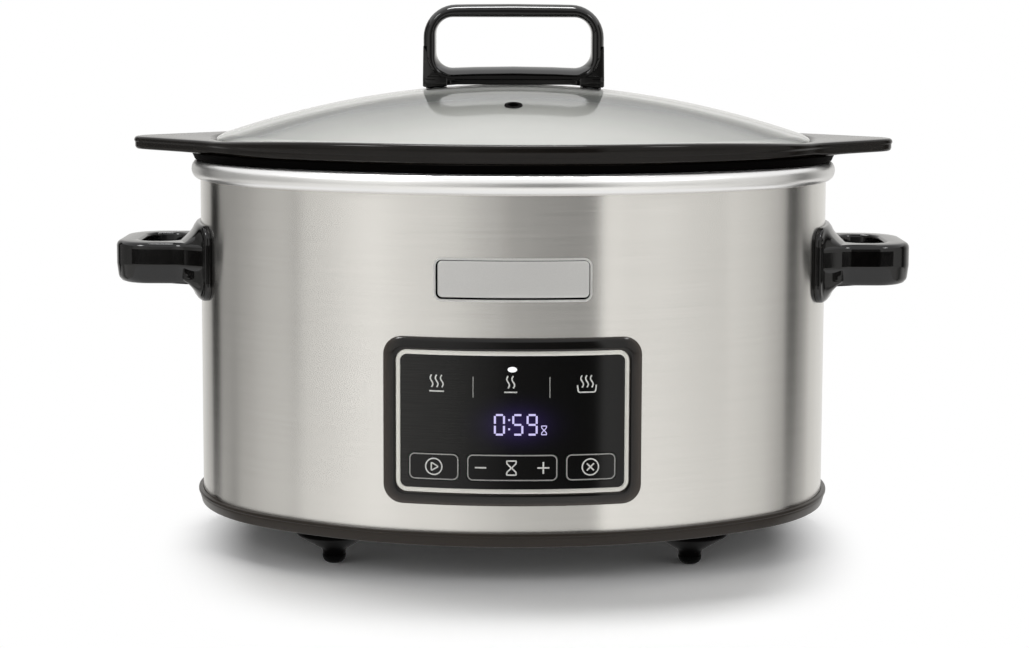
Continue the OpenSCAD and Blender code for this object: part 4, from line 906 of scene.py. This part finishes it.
shares = np.concatenate([[0.0, 0.06], np.linspace(0.12, 0.96, 22), [0.975]])
dome_rows = [dome_row(u, GLASS_T) for u in shares]
dome_rows += [edge_row(math.radians(t)) for t in (62, 35, 10, -15, -40, -65, -90)]
dome_rows += [dome_row(u, 0.0) for u in shares[::-1]]
lid = make_piece("domed_glass", [(np.stack(dome_rows), False, True)], glass, 40.0)
SCREW_X, SCREW_HOLE_R, VENT_Y, VENT_R = 40.0, 2.6, -60.6, 3.7
holes = []
for x, y, radius, steps in ((-SCREW_X, 0.0, SCREW_HOLE_R, 32), (SCREW_X, 0.0, SCREW_HOLE_R, 32),
                            (0.0, VENT_Y, VENT_R, 40)):
    holes.append((turned([(0, 200.0), (radius, 200.0), (radius, 250.0), (0, 250.0)], (x, y), steps), False, True))
drill(lid, holes, 40.0)
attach(lid, "lid")
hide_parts("glass_lid")

# ------------------------------------------------------------
# Lid handle: a black gloss hoop with a wide hand opening. Its lower bar stands on a long foot that is
# hollowed along both sides, and two screws come up through the glass into the ends of the foot.
hoop_outer = [(0.0, 8.0), (0.0, -6.6), (0.35, -8.0), (1.1, -9.4), (1.75, -10.5), (2.4, -11.0)]
hoop_inner = [(1.5, -11.0), (0.9, -10.5), (0.35, -9.3), (0.0, -6.5), (0.0, -2.5), (0.0, 8.0), (0.35, 10.0),
              (1.2, 11.0)]
hoop_back = [(1.8, 11.0), (1.0, 10.6), (0.3, 9.6)]


def hoop_row(outer, inset, y):
    """One row of the hoop: its outer outline brought in, or its opening's grown, at a depth.

    The top is crowned by 0.8 mm and the opening's lower side by 1.2 mm, by one less the square of x over the
    half width. The lower side also slopes down towards the front, to show its face.
    """
    if outer:
        half, top, low = 46.4 - inset, 275.0 - inset, 236.6 + 0.35 * inset
        radii = [16.5 - inset, 16.5 - inset, 14.5 - inset, 14.5 - inset]
    else:
        half, top, low = 40.2 + inset, 269.0 + inset, 242.2 - 0.25 * inset
        radii = [9.0 + inset] * 4
    corners = [(half * share, top) for share in (1, 0.5, 0, -0.5, -1)]
    corners += [(half * share, low) for share in (-1, -0.5, 0, 0.5, 1)]
    turns = [radii[0], 0, 0, 0, radii[1], radii[2], 0, 0, 0, radii[3]]
    plan = corner_arcs(corners, turns)
    bow = 1 - (plan[:, 0] / half) ** 2
    upper = plan[:, 1] > 256
    rise = np.where(upper, 0.8 * bow * outer, 0.0 if outer else 1.2 * bow + 0.44 * min(y + 2.5, 0.0))
    return np.column_stack([plan[:, 0], np.full(len(plan), y), plan[:, 1] + rise])


def corner_arcs(corners, radii, steps=12):
    """A closed outline of straight sides with points along them, and quarter arcs where a radius is given."""
    curved = [i for i, radius in enumerate(radii) if radius > 0]
    arcs = rounded([corners[i] for i in curved], [radii[i] for i in curved], steps).reshape(len(curved), steps, 2)
    points = []
    for i, corner in enumerate(corners):
        points.append(arcs[curved.index(i)] if i in curved else np.array([corner], float))
    return np.concatenate(points)


hoop_rows = []
for outer, rows in ((True, hoop_outer), (False, hoop_inner), (True, hoop_back)):
    hoop_rows += [hoop_row(outer, inset, y) for inset, y in rows]

post = rounded([(46.4, 254.5), (45.0, 251.5), (41.6, 243.2), (36.5, 239.2), (30.0, 237.9), (30.0, 236.6),
                (46.65, 236.6)], [0.1, 0.4, 3.0, 3.0, 0.2, 0.2, 0.2], 5)
post_depths = [(0.35, -10.5), (0.1, -10.4), (0.0, -10.1), (0.0, 10.1), (0.1, 10.4), (0.35, 10.5)]
post_shares = [(0.0, -10.4)] + [(1 - inset / 8, y) for inset, y in post_depths] + [(0.0, 10.4)]
post_middle = post.mean(axis=0)
posts = []
for side in (-1, 1):
    rings = []
    for share, y in post_shares:
        plan = post_middle + (post - post_middle) * share
        rings.append(np.column_stack([side * plan[:, 0], np.full(len(plan), y), plan[:, 1]]))
    posts.append((np.stack(rings), False, True))

foot_corner = [(46.7, 11), (34.3, 11), (32.6, 8.2)]
foot_side = foot_corner + [(-x, y) for x, y in foot_corner[::-1]]
foot_plan = rounded(foot_side + [(x, -y) for x, y in foot_side[::-1]], [2.2, 1, 1, 1, 1, 2.2] * 2, 5)


def on_dome(plan, gap):
    """Lays plan points over the glass with a gap, by the dome's own rule."""
    a, b = POT[0] + GLASS_IN, POT[1] + GLASS_IN
    share = (plan[:, 0] / a) ** 2 + (plan[:, 1] / b) ** 2
    return np.column_stack([plan, GLASS_Z + GLASS_T + DOME * (1 - share) + gap])


foot_rows = [level(foot_plan * scale, 238.3) for scale in (0.0, 0.5, 1.0)]
foot_rows += [on_dome(foot_plan, 1.9), on_dome(foot_plan * 0.985, 1.3)]
foot_rows += [on_dome(foot_plan * scale, 1.3) for scale in (0.5, 0.0)]
lid_patches = [(np.stack(hoop_rows), True, True), (np.stack(foot_rows), False, True)] + posts
lid_grip = make_piece("hoop_handle", lid_patches, handle_black, 50.0)
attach(lid_grip, "lid")
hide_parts("lid_handle")

# ------------------------------------------------------------
# Inner and small pieces: screws, boards, switches, the heater and its well, the sensor and the gland.
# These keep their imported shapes, and take the finish of what they are made of.
inner_finishes = {
    "rear_seam_strip": steel, "panel_fascia": lens_black, "start_key": key_black, "timer_key": key_black,
    "cancel_key": key_black, "vent_eyelet": handle_black, "lid_gaskets": rubber,
}
zinc = moulded("zinc_plate", (0.42, 0.43, 0.45), (0.60, 0.61, 0.62), 0.34, 900.0, 0.00001, metallic=1.0)
enamel = moulded("well_steel", (0.30, 0.30, 0.31), (0.46, 0.46, 0.47), 0.42, 700.0, 0.00002, metallic=1.0)
painted = moulded("bottom_black_paint", (0.015, 0.015, 0.015), (0.030, 0.030, 0.030), 0.55, 1100.0, 0.00004)
mica = moulded("heater_mica", (0.42, 0.33, 0.20), (0.60, 0.50, 0.33), 0.60, 300.0, 0.00005)
ceramic = moulded("fuse_ceramic", (0.70, 0.68, 0.62), (0.82, 0.80, 0.75), 0.50)
sleeving = moulded("lead_sleeving", (0.55, 0.52, 0.46), (0.70, 0.67, 0.60), 0.70, 2500.0, 0.00005)
laminate = moulded("board_laminate", (0.012, 0.10, 0.045), (0.02, 0.15, 0.07), 0.42, 500.0, 0.00001)
blue_case = moulded("relay_blue_case", (0.02, 0.07, 0.25), (0.03, 0.10, 0.32), 0.40)
tape = moulded("transformer_tape", (0.50, 0.33, 0.03), (0.62, 0.43, 0.06), 0.45)
dark_sleeve = moulded("capacitor_sleeve", (0.012, 0.015, 0.045), (0.02, 0.025, 0.07), 0.35)
grey_ribbon = moulded("ribbon_grey", (0.30, 0.30, 0.31), (0.40, 0.40, 0.41), 0.55, 900.0)
gland_black = moulded("gland_black", (0.012, 0.012, 0.012), (0.024, 0.024, 0.024), 0.45)
pale_plastic = moulded("switch_pale_plastic", (0.55, 0.53, 0.47), (0.68, 0.66, 0.60), 0.45)
dark_plastic = moulded("switch_dark_plastic", (0.03, 0.03, 0.032), (0.05, 0.05, 0.052), 0.45)
diffuser = moulded("led_milky_diffuser", (0.75, 0.75, 0.80), (0.88, 0.88, 0.92), 0.45)
for finish, names in (
        (zinc, "foot_screws bottom_screws tie_rods tie_nuts handle_plates handle_screws lid_screws panel_clips"
               " timer_key_pin power_board_screws control_board_screws sensor_bracket sensor_spring fuse_clip"
               " heater_strap pot_sensor"),
        (enamel, "heating_well"), (painted, "bottom_plate"), (mica, "heating_band"), (ceramic, "thermal_fuse"),
        (sleeving, "heater_leads"), (laminate, "power_board control_board"), (blue_case, "relay"),
        (tape, "transformer"), (dark_sleeve, "capacitors"), (grey_ribbon, "ribbon_cable"),
        (gland_black, "cord_gland gland_nut"), (pale_plastic, "start_plunger timer_plungers cancel_plunger"),
        (dark_plastic, "key_switches display_module"), (diffuser, "indicator_lights")):
    inner_finishes.update({name: finish for name in names.split()})
for name, finish in inner_finishes.items():
    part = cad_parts[name]
    part.data.materials.clear()
    part.data.materials.append(finish)
